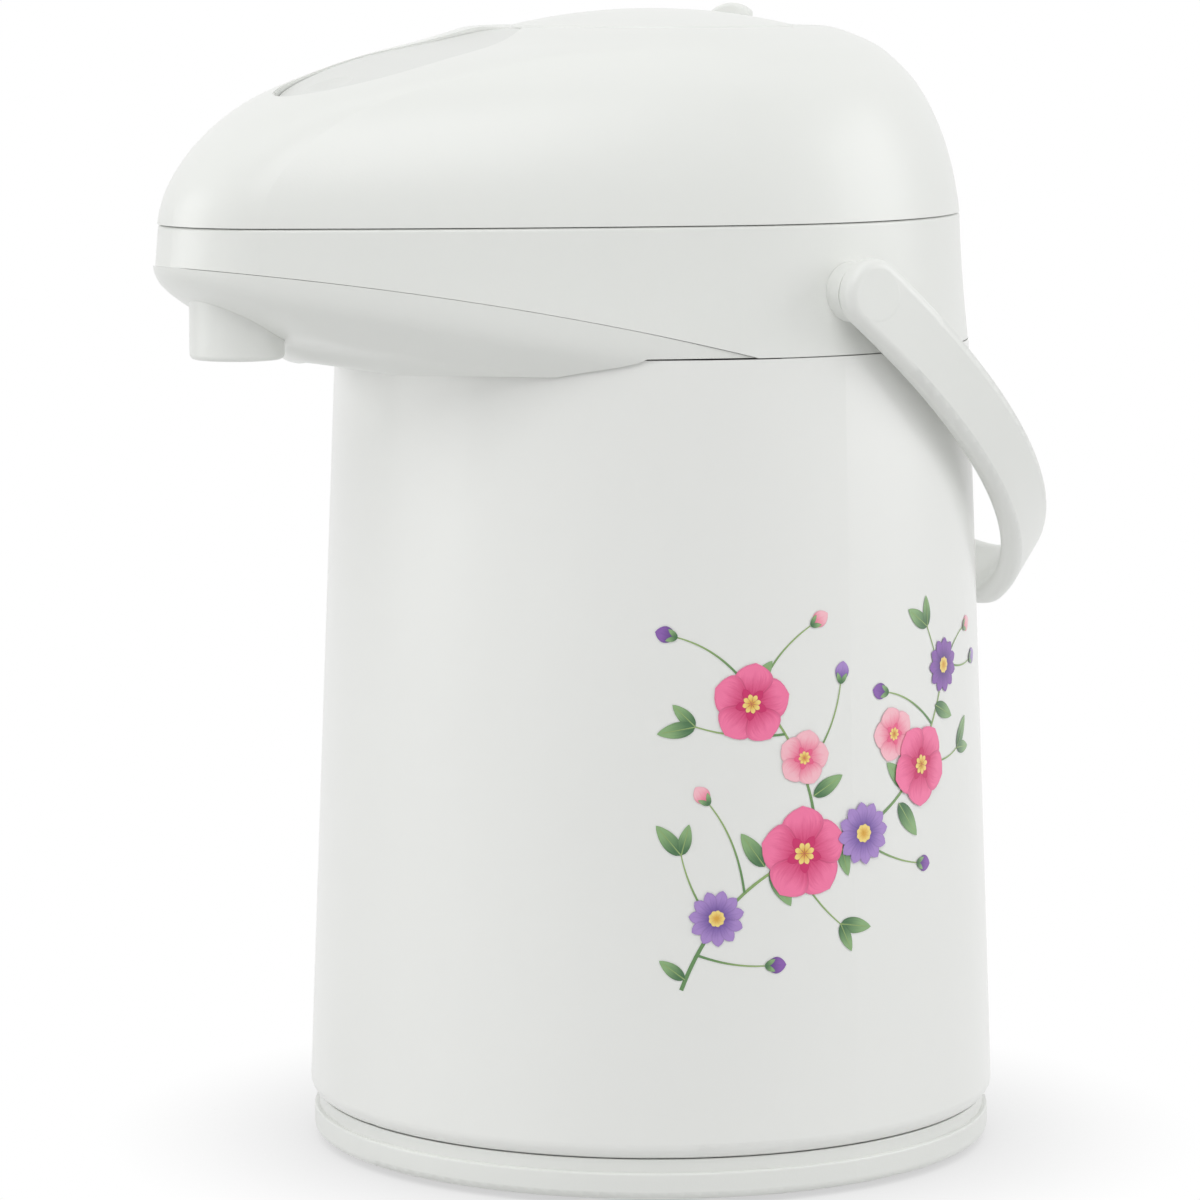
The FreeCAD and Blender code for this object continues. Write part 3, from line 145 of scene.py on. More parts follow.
# %% White surround
ROOM_TINT, ROOM_LIGHT = (0.99, 1.0, 0.99, 1), 0.48

world = bpy.data.worlds.new("studio_room")
bpy.context.scene.world = world
world.use_nodes = True
tree = world.node_tree
room = tree.nodes["Background"]
room.inputs["Color"].default_value = ROOM_TINT
room.inputs["Strength"].default_value = ROOM_LIGHT
white = add_node(tree, "ShaderNodeBackground", Color=WHITE, Strength=1.0)
choice = add_node(tree, "ShaderNodeMixShader")
link(tree, seen_directly(tree), choice.inputs["Fac"])
link(tree, room.outputs["Background"], choice.inputs[1])
link(tree, white.outputs["Background"], choice.inputs[2])
link(tree, choice.outputs["Shader"], tree.nodes["World Output"].inputs["Surface"])
bpy.context.scene.view_settings.view_transform = "Standard"
print("room light:", ROOM_LIGHT)

# %% [markdown]
# ## Soft lamps
# A pot of white plastic shows its shape only by soft gradients. Large square area lamps give those: one over
# the lid, one high in front and one on each side, so that the middle of each form is a little darker than its
# flanks. Small or spot lamps would draw hard highlights.

# %% Lamps
def soft_lamp(name, place, target, size, power):
    """A square area lamp that faces its target."""
    data = bpy.data.lights.new(name, "AREA")
    data.size = size
    data.energy = power
    lamp = bpy.data.objects.new(name, data)
    lamp.location = place
    aim = Vector(target) - Vector(place)
    lamp.rotation_euler = aim.to_track_quat("-Z", "Y").to_euler()
    bpy.context.scene.collection.objects.link(lamp)


POT_MIDDLE, LID_MIDDLE = (0, 0, 0.2), (0, -0.03, 0.2)
TOP_SIZE, TOP_POWER = 1.6, 4.5
SIDE_SIZE, SIDE_POWER, FRONT_POWER = 1.2, 8.9, 12.5
soft_lamp("lamp_top", (0.0, -0.1, 1.9), LID_MIDDLE, TOP_SIZE, TOP_POWER)
soft_lamp("lamp_front", (1.1, -0.8, 1.7), POT_MIDDLE, SIDE_SIZE, FRONT_POWER)
soft_lamp("lamp_left", (-0.9, -1.6, 0.7), POT_MIDDLE, SIDE_SIZE, SIDE_POWER)
soft_lamp("lamp_right", (1.0, 1.5, 0.7), POT_MIDDLE, SIDE_SIZE, SIDE_POWER)
print("lamps:", len(bpy.data.lights))

# %% [markdown]
# ## Camera
# The photograph was taken from the pot's front left with a long lens, a little above the lid and tipped down.
# The numbers below come from fitting the round seams of the pot, so no lens shift is needed.

# %% Camera
CAMERA_PLACE = (1.13878, -0.81448, 0.3216)
CAMERA_TIP, CAMERA_SIDE = 7.124, 55
CAMERA_TURN = (math.radians(90 - CAMERA_TIP), 0, math.radians(CAMERA_SIDE))
LENS_MM, FILM_MM = 155.15, 36.0

camera_data = bpy.data.cameras.new("photo_camera")
camera_data.lens = LENS_MM
camera_data.sensor_width = FILM_MM
camera = bpy.data.objects.new("photo_camera", camera_data)
camera.location = CAMERA_PLACE
camera.rotation_euler = CAMERA_TURN
bpy.context.scene.collection.objects.link(camera)
bpy.context.scene.camera = camera
print("camera at", CAMERA_PLACE)

# %% [markdown]
# ## Finishes
# The shells are moulded white plastic: almost even in colour, softly glossy, with a very fine grain from the
# mould. A single colour looks like a blank model, so a slow noise varies the tone a little and a fine noise
# gives the bump. The same recipe with other numbers serves the lacquered body, the inner mouldings, the
# soft seals and the steel. The inner bottle is clear glass with silver behind it, so it is a bright metal
# under a smooth clear coat: true glass in front of a mirror would lose its light between the two walls.
# The release panel gets a slightly greyer plastic that is painted shade: it darkens the sunken oval so that
# the oval shows on the white lid.

# %% A recipe for moulded surfaces
CLOUD_SCALE, CLOUD_FROM, CLOUD_TO = 14.0, 0.3, 0.7
GLOSS_SPREAD = 0.12
RELIEF_DEPTH = 0.0002


def moulded_finish(name, tint, spread, roughness, grain, bump, stretch=(1, 1, 1), **values):
    """Colour and roughness that vary slowly, and a fine bump; grain is the bump's scale per metre."""
    finish, tree, shader = new_finish(name, **values)
    place = add_node(tree, "ShaderNodeTexCoord")
    turn = add_node(tree, "ShaderNodeMapping")
    turn.inputs["Scale"].default_value = stretch
    link(tree, place.outputs["Object"], turn.inputs["Vector"])
    slow = add_node(tree, "ShaderNodeTexNoise", Scale=CLOUD_SCALE, Detail=3.0, Roughness=0.5)
    link(tree, turn.outputs["Vector"], slow.inputs["Vector"])
    ramp = add_node(tree, "ShaderNodeValToRGB")
    ramp.color_ramp.elements[0].position = CLOUD_FROM
    ramp.color_ramp.elements[1].position = CLOUD_TO
    ramp.color_ramp.elements[0].color = [c * (1 - spread) for c in tint] + [1]
    ramp.color_ramp.elements[1].color = [min(c * (1 + spread), 1) for c in tint] + [1]
    link(tree, slow.outputs["Fac"], ramp.inputs["Fac"])
    link(tree, ramp.outputs["Color"], shader.inputs["Base Color"])
    fine = add_node(tree, "ShaderNodeTexNoise", Scale=grain, Detail=2.0, Roughness=0.6)
    link(tree, turn.outputs["Vector"], fine.inputs["Vector"])
    gloss = add_node(tree, "ShaderNodeMapRange")
    gloss.inputs["To Min"].default_value = roughness * (1 - GLOSS_SPREAD)
    gloss.inputs["To Max"].default_value = roughness * (1 + GLOSS_SPREAD)
    link(tree, fine.outputs["Fac"], gloss.inputs["Value"])
    link(tree, gloss.outputs["Result"], shader.inputs["Roughness"])
    relief = add_node(tree, "ShaderNodeBump", Strength=bump, Distance=RELIEF_DEPTH)
    link(tree, fine.outputs["Fac"], relief.inputs["Height"])
    link(tree, relief.outputs["Normal"], shader.inputs["Normal"])
    return finish


print("relief:", RELIEF_DEPTH, "m")

# %% Finishes for the slots
white_plastic = moulded_finish("white_plastic", (0.83, 0.84, 0.815), 0.008, 0.32, 1500, 0.10)
lacquer = moulded_finish("white_lacquer", (0.86, 0.865, 0.845), 0.006, 0.30, 420, 0.06,
                         Coat_Weight=0.25, Coat_Roughness=0.12)
# The release panel's tint is greyer than the lid's white: painted shade for its sunken oval.
panel_painted_shade = moulded_finish("panel_painted_shade", (0.755, 0.765, 0.742), 0.008, 0.36, 1500, 0.10)
inner_plastic = moulded_finish("inner_plastic", (0.74, 0.745, 0.73), 0.02, 0.48, 1100, 0.2)
pale_rubber = moulded_finish("pale_rubber", (0.62, 0.62, 0.60), 0.04, 0.62, 1700, 0.3)
bellows_rubber = moulded_finish("bellows_rubber", (0.66, 0.64, 0.58), 0.05, 0.58, 1300, 0.3)
felt = moulded_finish("pad_felt", (0.40, 0.36, 0.30), 0.12, 0.95, 2400, 0.9)
steel = moulded_finish("plain_steel", (0.60, 0.61, 0.62), 0.05, 0.30, 900, 0.15, (1, 1, 0.08),
                       Metallic=1.0)
drawn_tube = moulded_finish("drawn_tube", (0.66, 0.67, 0.68), 0.04, 0.24, 1200, 0.2, (1, 1, 0.05),
                            Metallic=1.0)
silvering = moulded_finish("silvered_glass", (0.86, 0.87, 0.87), 0.03, 0.06, 200, 0.05, Metallic=1.0)
bottle_glass = moulded_finish("bottle_glass", (0.84, 0.86, 0.85), 0.03, 0.24, 160, 0.05, Metallic=0.6,
                              Coat_Weight=1.0, Coat_Roughness=0.03)
FINISHES = {
    "white_shell": white_plastic, "body_coat": lacquer, "inner_moulding": inner_plastic,
    "clear_glass": bottle_glass, "silvered_glass": silvering, "soft_seal": pale_rubber,
    "bellows_rubber": bellows_rubber, "water_pipe": drawn_tube, "plain_steel": steel, "felt": felt,
}
SLOT_OF = {part["node"]: part["material_slot"] for part in frame["record"]["subparts"]}
for name, node in frame["nodes"].items():
    node.data.materials.clear()
    node.data.materials.append(FINISHES[SLOT_OF[name]])
# The release panel takes the greyer tint, which is painted shade for its recess.
frame["nodes"]["release_panel"].data.materials[0] = panel_painted_shade
print("finishes:", sorted(FINISHES))

# %% [markdown]
# ## Turned soft pieces
# Gaskets, seals, valves and the bellows are soft rings, and every one is a shape turned about an axis. The
# editor's Screw modifier could make them, but a spun bmesh keeps each ring one clean closed mesh. A profile
# is drawn as one face, its corners are rounded with a vertex bevel, and its outline is spun a full turn.

# %% A turned ring
MM = 0.001
RING_STEPS = 96
SHARP_EDGE = math.radians(38)


def finished_object(name, bm, finish, body, nodes=()):
    """Turns a bmesh into a smooth object that rides on a body and stands for the given nodes."""
    bmesh.ops.remove_doubles(bm, verts=bm.verts, dist=1e-7)
    bmesh.ops.recalc_face_normals(bm, faces=bm.faces)
    for face in bm.faces:
        face.smooth = True
    for edge in bm.edges:
        edge.smooth = edge.calc_face_angle(0.0) < SHARP_EDGE
    data = bpy.data.meshes.new(name)
    bm.to_mesh(data)
    bm.free()
    data.materials.append(finish)
    piece = bpy.data.objects.new(name, data)
    bpy.context.scene.collection.objects.link(piece)
    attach(piece, body)
    for node in nodes:
        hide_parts(node)
    return piece


def turned_ring(profile, rounding, place=Matrix.Identity(4)):
    """A closed ring from (radius, height) corners in millimetres, with rounded corners."""
    bm = bmesh.new()
    corners = [bm.verts.new((r * MM, 0, z * MM)) for r, z in profile]
    bm.faces.new(corners)
    bmesh.ops.bevel(bm, geom=corners, offset=rounding * MM, affect="VERTICES", segments=3, profile=0.5,
                    material=-1)
    bmesh.ops.delete(bm, geom=bm.faces[:], context="FACES_ONLY")
    bmesh.ops.spin(bm, geom=bm.verts[:] + bm.edges[:], cent=(0, 0, 0), axis=(0, 0, 1), angle=2 * math.pi,
                   steps=RING_STEPS, use_merge=True)
    bmesh.ops.transform(bm, matrix=place, verts=bm.verts)
    return bm


print("ring steps:", RING_STEPS)

# %% [markdown]
# ## Grip ring, gaskets and seals
# Each soft ring fills the space of its plain solid and gets the beads and lips that such seals have, because
# a seal with a square section never closes. The grip ring under the foot is ribbed, so that the foot stays
# put while the pot turns on it.

# %% Gaskets and seals
NOZZLE_PLACE = Matrix.Translation((0, -0.1308, 0))
GROMMET_PLACE = Matrix.Translation((0, -0.0382, 0.236)) @ Matrix.Rotation(math.pi / 2, 4, "X")

grip_ribs = [(70, 1.2), (70, 0)]
for groove in (71.4, 73.0, 74.6):
    grip_ribs += [(groove - 0.4, 0), (groove - 0.2, 0.4), (groove + 0.2, 0.4), (groove + 0.4, 0)]
grip_ribs += [(76, 0), (76, 1.2)]
finished_object("grip_ring", turned_ring(grip_ribs, 0.12), pale_rubber, "foot", ["foot_grip_ring"])
finished_object("liner_seat", turned_ring(
    [(20, 8.4), (40, 8.4), (40, 11), (38.6, 12.2), (39.2, 13.6), (38, 22), (34, 22), (30, 20.6), (26, 22),
     (20, 22)], 0.5), pale_rubber, "pot", ["liner_cushion"])
finished_object("mouth_seal", turned_ring(
    [(34.5, 221.5), (37, 221.5), (37.6, 222.1), (38.6, 222.1), (39.2, 221.5), (42.5, 221.5), (42.5, 224.5),
     (39.6, 224.5), (38.8, 224), (37.8, 224), (37, 224.5), (34.5, 224.5)], 0.25), pale_rubber, "pot",
    ["liner_mouth_gasket"])
finished_object("nozzle_centring_seal", turned_ring(
    [(5.6, 221), (7.2, 221), (7.8, 221.7), (8.6, 221.7), (9.2, 221), (10.1, 221), (10.1, 224), (5.6, 224)],
    0.25, NOZZLE_PLACE), pale_rubber, "pot", ["nozzle_seal"])
finished_object("pipe_sleeve", turned_ring(
    [(5.6, -3), (7.4, -3), (7.4, -1.1), (7.0, -0.7), (7.0, 0.7), (7.4, 1.1), (7.4, 3), (5.6, 3)], 0.2,
    GROMMET_PLACE), pale_rubber, "pot", ["pipe_grommet"])
finished_object("lid_seal", turned_ring(
    [(36.2, 249.8), (36.2, 247.4), (37.2, 246.2), (38.0, 247.2), (39.2, 247.2), (40.2, 246.2), (41.2, 247.4),
     (41.2, 249.8)], 0.3), pale_rubber, "lid", ["lid_gasket"])
finished_object("outlet_flap", turned_ring(
    [(0.02, 248.6), (2.2, 248.4), (3.0, 248.9), (6.8, 248.9), (8.0, 248.4), (8.0, 249.2), (6.4, 249.8),
     (0.02, 249.8)], 0.1), pale_rubber, "lid", ["outlet_valve"])
finished_object("intake_flap", turned_ring(
    [(0.02, 291.5), (5.6, 291.5), (5.6, 292.0), (4.6, 292.3), (2.2, 292.3), (1.8, 292.7), (0.02, 292.7)],
    0.1), pale_rubber, "push", ["intake_valve"])

# %% [markdown]
# ## Bellows, spring and felt pads
# Pressing the plate folds the bellows and the spring inside it. The spring and the pads start from copies of
# their solids, merged so that the triangles share their corners.

# %% Bellows, spring and pads
BELLOWS_FOOT, BELLOWS_TOP, BELLOWS_FOLDS = 252.0, 289.0, 6
FOLD_IN, FOLD_OUT, FOLD_WALL, BELLOWS_BORE = 25, 33, 2.6, 22.4
PAD_RIM, PAD_ROUNDING = math.radians(40), 0.6

first, last = BELLOWS_FOOT + 1, BELLOWS_TOP - 1
pitch = (last - first) / (2 * BELLOWS_FOLDS)
crests = [(FOLD_OUT if i % 2 else FOLD_IN, first + i * pitch) for i in range(2 * BELLOWS_FOLDS + 1)]
outside = [(FOLD_OUT, z) for z in (BELLOWS_FOOT, first)] + crests
outside += [(FOLD_OUT, z) for z in (last, BELLOWS_TOP)]
inside = [(BELLOWS_BORE, BELLOWS_TOP)] + [(r - FOLD_WALL, z) for r, z in reversed(crests)]
inside.append((BELLOWS_BORE, BELLOWS_FOOT))
folds = turned_ring(outside + inside, 0.35)
bellows = finished_object("folded_bellows", folds, bellows_rubber, "lid", ["pump_bellows"])
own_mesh(bellows)


def merged_copy(node):
    """A copy of a solid's mesh whose triangles share their corners."""
    bm = bmesh.new()
    bm.from_mesh(frame["nodes"][node].data)
    bmesh.ops.remove_doubles(bm, verts=bm.verts, dist=1e-6)
    return bm


spring = finished_object("coil_spring", merged_copy("return_spring"), steel, "lid", ["return_spring"])
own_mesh(spring)
pads = merged_copy("liner_spacers")
rims = [e for e in pads.edges if e.calc_face_angle(0.0) > PAD_RIM]
bmesh.ops.bevel(pads, geom=rims, offset=PAD_ROUNDING * MM, affect="EDGES", segments=3, profile=0.5,
                material=-1)
finished_object("felt_pads", pads, felt, "pot", ["liner_spacers"])

# %% [markdown]
# ## Cross-head screws
# The lid's base and the well are held by small steel screws. Their plain solids have the right place and
# size, but a bought screw has a cross in its head. A boolean cut would do, yet a grid is neater: its squares
# in a cross are extruded down, its outline is drawn into a circle, and its border is pulled out to head and
# shank.

# %% A set of screws
HEAD_SQUARES = 13
CROSS_HALF, CROSS_REACH = 0.1, 0.65
HEAD_CROWN, CROSS_DEPTH = 0.3, 0.6


def verts_of(geometry):
    """The vertices in what a bmesh operator gives back."""
    return [item for item in geometry if isinstance(item, bmesh.types.BMVert)]


def screw_set(name, node, body, places, head_radius, head_height, shank_radius, heads_up):
    """Screws with a cross in the head at (x, y) places in millimetres, as long as the node's box."""
    low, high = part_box(node)
    bm = bmesh.new()
    bmesh.ops.create_grid(bm, x_segments=HEAD_SQUARES, y_segments=HEAD_SQUARES, size=1)
    cross = []
    for face in bm.faces:
        near, far = sorted(abs(c) for c in face.calc_center_median().xy)
        if near < CROSS_HALF and far < CROSS_REACH:
            cross.append(face)
    cross_floor = verts_of(bmesh.ops.extrude_face_region(bm, geom=cross)["geom"])
    flatness = head_height / head_radius
    for vert in bm.verts:
        x, y = vert.co.xy
        vert.co.x, vert.co.y = x * math.sqrt(1 - y * y / 2), y * math.sqrt(1 - x * x / 2)
        vert.co.z = -HEAD_CROWN * (vert.co.x ** 2 + vert.co.y ** 2) * flatness
    bmesh.ops.translate(bm, verts=cross_floor, vec=(0, 0, -CROSS_DEPTH * flatness))
    bmesh.ops.scale(bm, verts=bm.verts, vec=(head_radius * MM,) * 3)
    border = [e for e in bm.edges if e.is_boundary]
    head, tip = head_height * MM, high.z - low.z
    for radius, depth in ((head_radius, head), (shank_radius, head), (shank_radius, tip)):
        made = bmesh.ops.extrude_edge_only(bm, edges=border)["geom"]
        border = [e for e in made if isinstance(e, bmesh.types.BMEdge)]
        for vert in verts_of(made):
            around = math.atan2(vert.co.y, vert.co.x)
            vert.co = (radius * MM * math.cos(around), radius * MM * math.sin(around), -depth)
    bmesh.ops.edgeloop_fill(bm, edges=border)
    if not heads_up:
        bmesh.ops.rotate(bm, verts=bm.verts, cent=(0, 0, 0), matrix=Matrix.Rotation(math.pi, 3, "X"))
    bmesh.ops.translate(bm, verts=bm.verts, vec=(0, 0, high.z if heads_up else low.z))
    first = bm.verts[:] + bm.edges[:] + bm.faces[:]
    for x, y in places[1:]:
        copy = verts_of(bmesh.ops.duplicate(bm, geom=first)["geom"])
        bmesh.ops.translate(bm, verts=copy, vec=(x * MM, y * MM, 0))
    bmesh.ops.translate(bm, verts=verts_of(first), vec=(places[0][0] * MM, places[0][1] * MM, 0))
    finished_object(name, bm, steel, body, [node])


print("squares in a screw's head:", HEAD_SQUARES ** 2)

# %% Screws in their places
LID_HEAD_RADIUS, WELL_HEAD_RADIUS = 3.2, 2.8
HEAD_HEIGHT, SHANK_RADIUS = 2.0, 1.5
WELL_SCREW_RING = 44.6

well_side = WELL_SCREW_RING * math.sqrt(0.5)
lid_places = [(56, 32), (-56, 32), (48, -60), (-48, -60)]
well_places = [(x, y) for x in (well_side, -well_side) for y in (well_side, -well_side)]
screw_set("lid_base_screws", "lid_screws", "lid", lid_places, LID_HEAD_RADIUS, HEAD_HEIGHT, SHANK_RADIUS,
          False)
screw_set("well_flange_screws", "well_screws", "pot", well_places, WELL_HEAD_RADIUS, HEAD_HEIGHT,
          SHANK_RADIUS, True)
print("screws:", len(lid_places) + len(well_places))

# %% [markdown]
# ## The printed garland
# The body carries a printed trail of simple flowers on the side that faces the camera. A drawing in the
# material would need hundreds of nodes, so the print is a set of very thin films: every petal, leaf and stem
# is a small grid that is shaped in a flat drawing and then wrapped round the cone of the body. Two colour
# attributes hold the tone at a petal's root and at its tip, and the UV map tells the ink where it is.

# %% A film on the body
BODY_FOOT, BODY_TOP = (93.7, 12.2), (85.7, 218.7)
PRINT_TURN = math.radians(57)
PRINT_FOOT = 55.0
PRINT_SCALE = 0.92
LAYER_LIFT, FILM_STEP = 0.05, 0.005

ink = bmesh.new()
root_layer = ink.verts.layers.float_color.new("root_tone")
tip_layer = ink.verts.layers.float_color.new("tip_tone")
ink.loops.layers.uv.new("film")
film_count = 0


def srgb(red, green, blue):
    """A colour from screen values to the linear values that nodes use."""
    return tuple(((c / 255 + 0.055) / 1.055) ** 2.4 for c in (red, green, blue)) + (1.0,)


def body_radius(z):
    """Radius of the body at a height, in millimetres."""
    share = (z - BODY_FOOT[1]) / (BODY_TOP[1] - BODY_FOOT[1])
    return BODY_FOOT[0] + (BODY_TOP[0] - BODY_FOOT[0]) * share


def wrap(x, y, lift):
    """A point of the flat drawing, in millimetres, on the body's cone."""
    z = PRINT_FOOT + y * PRINT_SCALE
    radius = body_radius(z)
    turn = PRINT_TURN + x * PRINT_SCALE / radius
    radius += lift
    return Vector((radius * math.sin(turn), -radius * math.cos(turn), z)) * MM


def film(shape, across, along, tones, layer):
    """One film: a grid whose corners (u from -1 to 1, v from 0 to 1) are placed by a shape function."""
    global film_count
    film_count += 1
    lift = LAYER_LIFT * (1 + layer) + FILM_STEP * (film_count % 10)
    made = bmesh.ops.create_grid(ink, x_segments=across, y_segments=along, size=0.5, calc_uvs=True)
    for vert in made["verts"]:
        u, v = 2 * vert.co.x, vert.co.y + 0.5
        vert[root_layer], vert[tip_layer] = tones
        vert.co = wrap(*shape(u, v), lift)


print("the print starts", PRINT_FOOT, "mm up the body")

# %% Petal and stem
def petal(x, y, angle, length, width, tones, layer, belly=0.62, notch=0.0):
    """A petal from its root at (x, y): belly is where it is widest, notch the dip at its tip."""
    cosine, sine = math.cos(angle), math.sin(angle)
    power = math.log(0.5) / math.log(belly)

    def shape(u, v):
        side = u * width / 2 * math.sin(math.pi * v ** power) ** 0.75
        reach = length * (v - notch * v ** 6 * (1 - abs(u)) ** 2)
        return x + reach * cosine - side * sine, y + reach * sine + side * cosine

    film(shape, 6, 12, tones, layer)


def stem(start, bend, finish, width, tones, layer=0):
    """A thin curved line from start to finish, drawn towards the bend point."""
    def shape(u, v):
        a, b, c = (1 - v) ** 2, 2 * v * (1 - v), v * v
        px, py = (a * p + b * q + c * r for p, q, r in zip(start, bend, finish))
        dx, dy = (2 * (1 - v) * (q - p) + 2 * v * (r - q) for p, q, r in zip(start, bend, finish))
        size = math.hypot(dx, dy)
        side = u * width / 2 * (1 - 0.5 * v)
        return px - side * dy / size, py + side * dx / size

    film(shape, 2, 28, tones, layer)


print("film shapes ready")

# %% [markdown]
# ## Flowers, leaves and buds
# Four motifs are enough for a garland: an open blossom of five broad petals, a daisy of many narrow ones, a
# leaf with a midrib, and a round bud on its own stalk. Each one is a few petals turned about a point.

# %% Motifs
PINK = (srgb(208, 30, 104), srgb(250, 122, 168))
ROSE = (srgb(240, 96, 140), srgb(253, 192, 204))
LILAC = (srgb(96, 62, 150), srgb(172, 138, 206))
VIOLET = (srgb(84, 44, 128), srgb(140, 92, 176))
GREEN = (srgb(66, 112, 70), srgb(140, 178, 122))
STALK = (srgb(96, 140, 84), srgb(150, 178, 110))
POLLEN = (srgb(226, 170, 60), srgb(250, 222, 130))


def blossom(x, y, size, tones, turn=0.0, layer=3):
    """Five broad petals, a ring of small inner ones and a dotted heart."""
    for i in range(5):
        petal(x, y, turn + 2 * math.pi * i / 5, size, size * 0.98, tones, layer, 0.62, 0.10)
    for i in range(5):
        angle = turn + 2 * math.pi * (i + 0.5) / 5
        petal(x, y, angle, size * 0.42, size * 0.22, (tones[0], tones[0]), layer + 1, 0.6)
    for i in range(8):
        petal(x, y, turn + 2 * math.pi * i / 8, size * 0.24, size * 0.12, POLLEN, layer + 2, 0.7)


def daisy(x, y, size, tones, count=11, turn=0.0, layer=3):
    """A ring of narrow petals round a full heart."""
    for i in range(count):
        petal(x, y, turn + 2 * math.pi * i / count, size, size * 0.46, tones, layer, 0.68)
    for i in range(9):
        petal(x, y, 2 * math.pi * i / 9, size * 0.3, size * 0.22, POLLEN, layer + 1, 0.65)


def leaf(x, y, angle, length, width=0.42):
    """A pointed leaf with a pale midrib."""
    petal(x, y, angle, length, length * width, GREEN, 1, 0.42)
    dx, dy = math.cos(angle) * length * 0.86, math.sin(angle) * length * 0.86
    stem((x, y), (x + dx / 2, y + dy / 2), (x + dx, y + dy), 0.32, (STALK[1], STALK[1]), 2)


def bud(x, y, angle, size, tones):
    """A round bud held by two small sepals."""
    petal(x, y, angle, size, size * 0.72, tones, 1, 0.55)
    for side in (-0.5, 0.5):
        petal(x, y, angle + side, size * 0.55, size * 0.22, GREEN, 2, 0.45)


def sprig(start, bend, finish, ends):
    """A side stalk that carries a bud or a leaf pair at its end."""
    stem(start, bend, finish, 0.7, STALK)
    angle = math.atan2(finish[1] - bend[1], finish[0] - bend[0])
    if ends == "leaves":
        leaf(*finish, angle + 0.5, 11)
        leaf(*finish, angle - 0.45, 9)
    else:
        bud(*finish, angle, 6.5, ends)


print("motifs: blossom, daisy, leaf, bud")

# %% [markdown]
# ## The garland's layout
# One long stalk climbs from the lower left to the upper right in two easy bends, a shorter one leaves it to
# the upper left, and everything hangs on the two. Films in one plane would flicker where they cross, so each
# kind has its own layer, a twentieth of a millimetre over the last: stalks, leaves, petals, hearts.

# %% Layout
stem((4, 2), (16, 34), (46, 40), 1.2, STALK)
stem((46, 40), (84, 47), (98, 88), 1.1, STALK)
stem((44, 40), (44, 66), (22, 88), 1.0, STALK)
for start, bend, finish, ends in (
        ((13, 20), (6, 30), (4, 40), "leaves"), ((22, 29), (20, 44), (12, 54), ROSE),
        ((40, 62), (50, 72), (52, 86), LILAC), ((34, 73), (20, 72), (8, 76), "leaves"),
        ((26, 84), (30, 96), (42, 103), ROSE), ((22, 88), (14, 98), (3, 101), VIOLET),
        ((36, 38), (42, 26), (52, 18), "leaves"), ((58, 42), (70, 34), (82, 32), VIOLET),
        ((84, 61), (96, 58), (106, 62), "leaves"), ((98, 88), (108, 84), (118, 86), LILAC),
        ((90, 71), (80, 80), (70, 82), VIOLET), ((97, 85), (104, 94), (112, 96), ROSE),
        ((8, 12), (18, 8), (28, 8), VIOLET), ((96, 82), (92, 92), (88, 99), "leaves")):
    sprig(start, bend, finish, ends)
for x, y, angle, length in ((28, 36, 2.2, 12), (30, 36, -1.1, 13), (74, 50, -0.9, 13), (78, 54, 2.4, 12),
                            (5, 5, 2.5, 9), (52, 41, -1.3, 10), (92, 76, -0.4, 11), (43, 55, 0.5, 11),
                            (30, 78, 2.7, 10), (24, 86, 0.9, 10)):
    leaf(x, y, angle, length)
daisy(14, 22, 8.0, LILAC, 11, 0.2)
daisy(60, 43, 9.0, LILAC, 12, 0.1, 6)
daisy(97, 87, 8.0, VIOLET, 11, 0.3)
blossom(40, 39, 13.5, PINK, 0.35)
blossom(84, 60, 12.0, PINK, 0.9, 6)
blossom(24, 82, 11.5, PINK, 0.2)
blossom(40, 66, 8.0, ROSE, 0.1)
blossom(72, 70, 8.0, ROSE, 0.6)
print("films in the print:", film_count)

# %% [markdown]
# ## Ink
# Printed ink is transparent, so a petal is never one tone. The ink goes from the root tone to the tip tone
# along the petal, with fine veins of noise stretched along it and a slightly deeper rim. The lacquer's clear
# coat lies over the print as well, so the gloss is that of the body.

# %% Ink
FADE_FROM, FADE_TO = 0.08, 0.85
VEIN_STRETCH, VEIN_SCALE, VEIN_DEPTH = (9.0, 1.4, 1.0), 1.6, 0.9
RIM_WIDTH, RIM_TONE = 0.09, 0.86

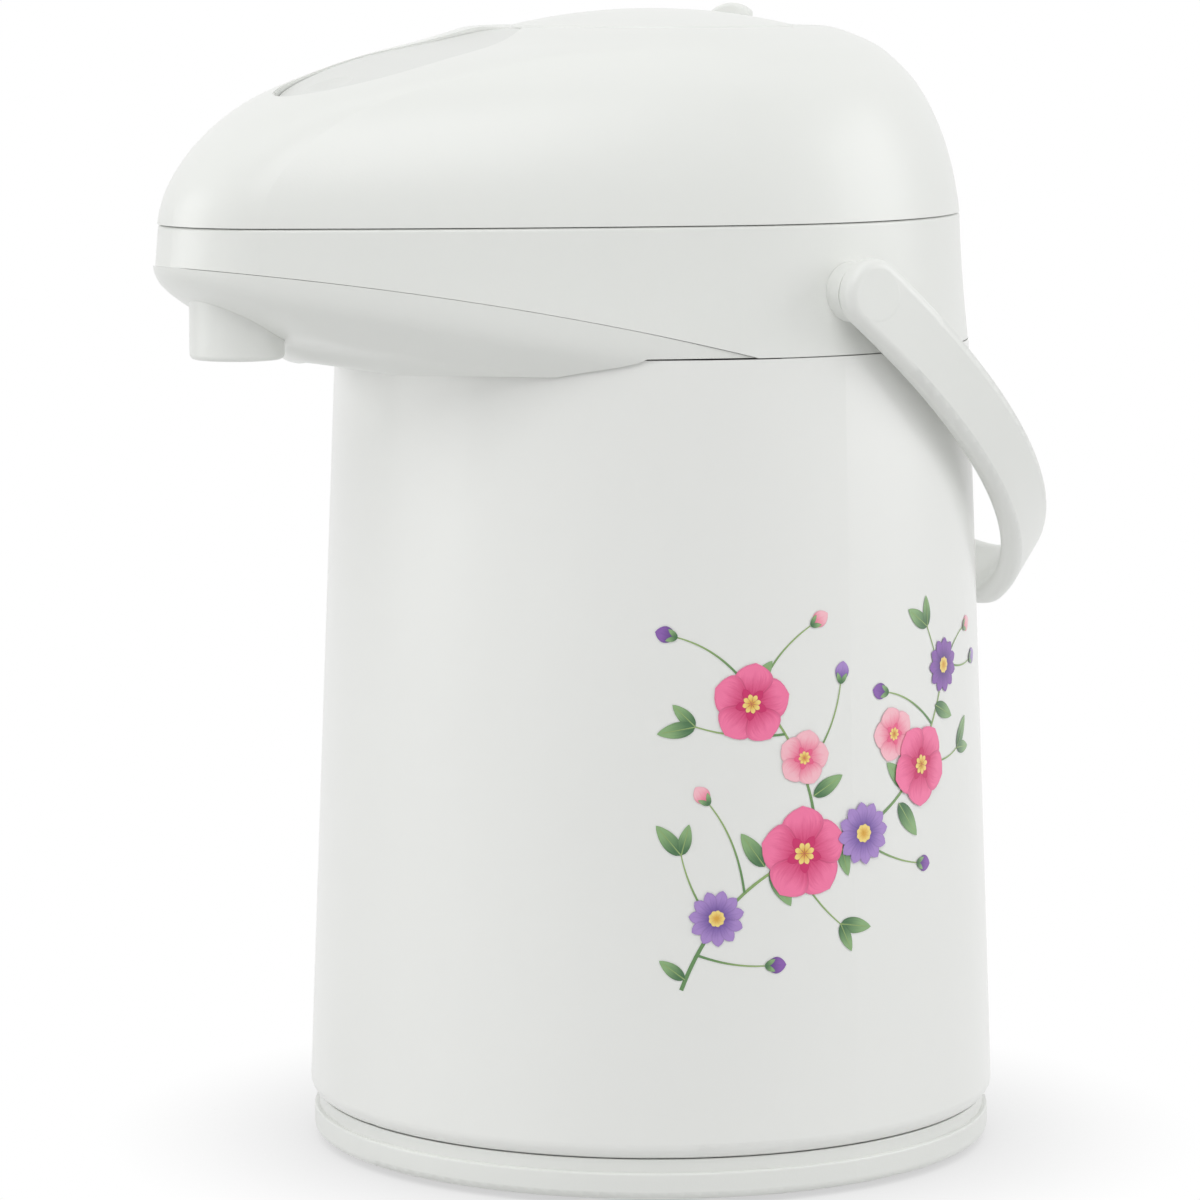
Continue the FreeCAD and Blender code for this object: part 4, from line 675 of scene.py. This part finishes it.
printed_ink, tree, shader = new_finish("printed_ink", Roughness=0.34, Coat_Weight=0.25, Coat_Roughness=0.12)
root_tone = add_node(tree, "ShaderNodeAttribute", attribute_name="root_tone")
tip_tone = add_node(tree, "ShaderNodeAttribute", attribute_name="tip_tone")
film_map = add_node(tree, "ShaderNodeUVMap", uv_map="film")
parts = add_node(tree, "ShaderNodeSeparateXYZ")
link(tree, film_map.outputs["UV"], parts.inputs["Vector"])
fade = add_node(tree, "ShaderNodeMapRange", interpolation_type="SMOOTHSTEP")
fade.inputs["From Min"].default_value = FADE_FROM
fade.inputs["From Max"].default_value = FADE_TO
link(tree, parts.outputs["Y"], fade.inputs["Value"])
stretch = add_node(tree, "ShaderNodeMapping")
stretch.inputs["Scale"].default_value = VEIN_STRETCH
link(tree, film_map.outputs["UV"], stretch.inputs["Vector"])
veins = add_node(tree, "ShaderNodeTexNoise", Scale=VEIN_SCALE, Detail=4.0, Roughness=0.6)
link(tree, stretch.outputs["Vector"], veins.inputs["Vector"])
wander = add_node(tree, "ShaderNodeMath", operation="MULTIPLY_ADD", use_clamp=True)
wander.inputs[1].default_value = VEIN_DEPTH
link(tree, veins.outputs["Fac"], wander.inputs[0])
shifted = add_node(tree, "ShaderNodeMath", operation="SUBTRACT")
shifted.inputs[1].default_value = VEIN_DEPTH / 2
link(tree, fade.outputs["Result"], shifted.inputs[0])
link(tree, shifted.outputs[0], wander.inputs[2])
tone = add_node(tree, "ShaderNodeMix", data_type="RGBA")
link(tree, wander.outputs[0], tone.inputs["Factor"])
link(tree, root_tone.outputs["Color"], tone.inputs["A"])
link(tree, tip_tone.outputs["Color"], tone.inputs["B"])
edge = add_node(tree, "ShaderNodeMath", operation="PINGPONG")
edge.inputs[1].default_value = 0.5
link(tree, parts.outputs["X"], edge.inputs[0])
rim = add_node(tree, "ShaderNodeMapRange", interpolation_type="SMOOTHSTEP")
rim.inputs["From Max"].default_value = RIM_WIDTH
rim.inputs["To Min"].default_value = RIM_TONE
link(tree, edge.outputs[0], rim.inputs["Value"])
deeper = add_node(tree, "ShaderNodeMix", data_type="RGBA", blend_type="MULTIPLY")
deeper.inputs["Factor"].default_value = 1.0
link(tree, tone.outputs["Result"], deeper.inputs["A"])
link(tree, rim.outputs["Result"], deeper.inputs["B"])
link(tree, deeper.outputs["Result"], shader.inputs["Base Color"])
print("nodes in the ink:", len(tree.nodes))

# %% The finished print
garland_data = bpy.data.meshes.new("printed_garland")
for face in ink.faces:
    face.smooth = True
ink.to_mesh(garland_data)
ink.free()
garland_data.materials.append(printed_ink)
garland = bpy.data.objects.new("printed_garland", garland_data)
bpy.context.scene.collection.objects.link(garland)
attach(garland, "pot")
print("faces in the print:", len(garland_data.polygons))
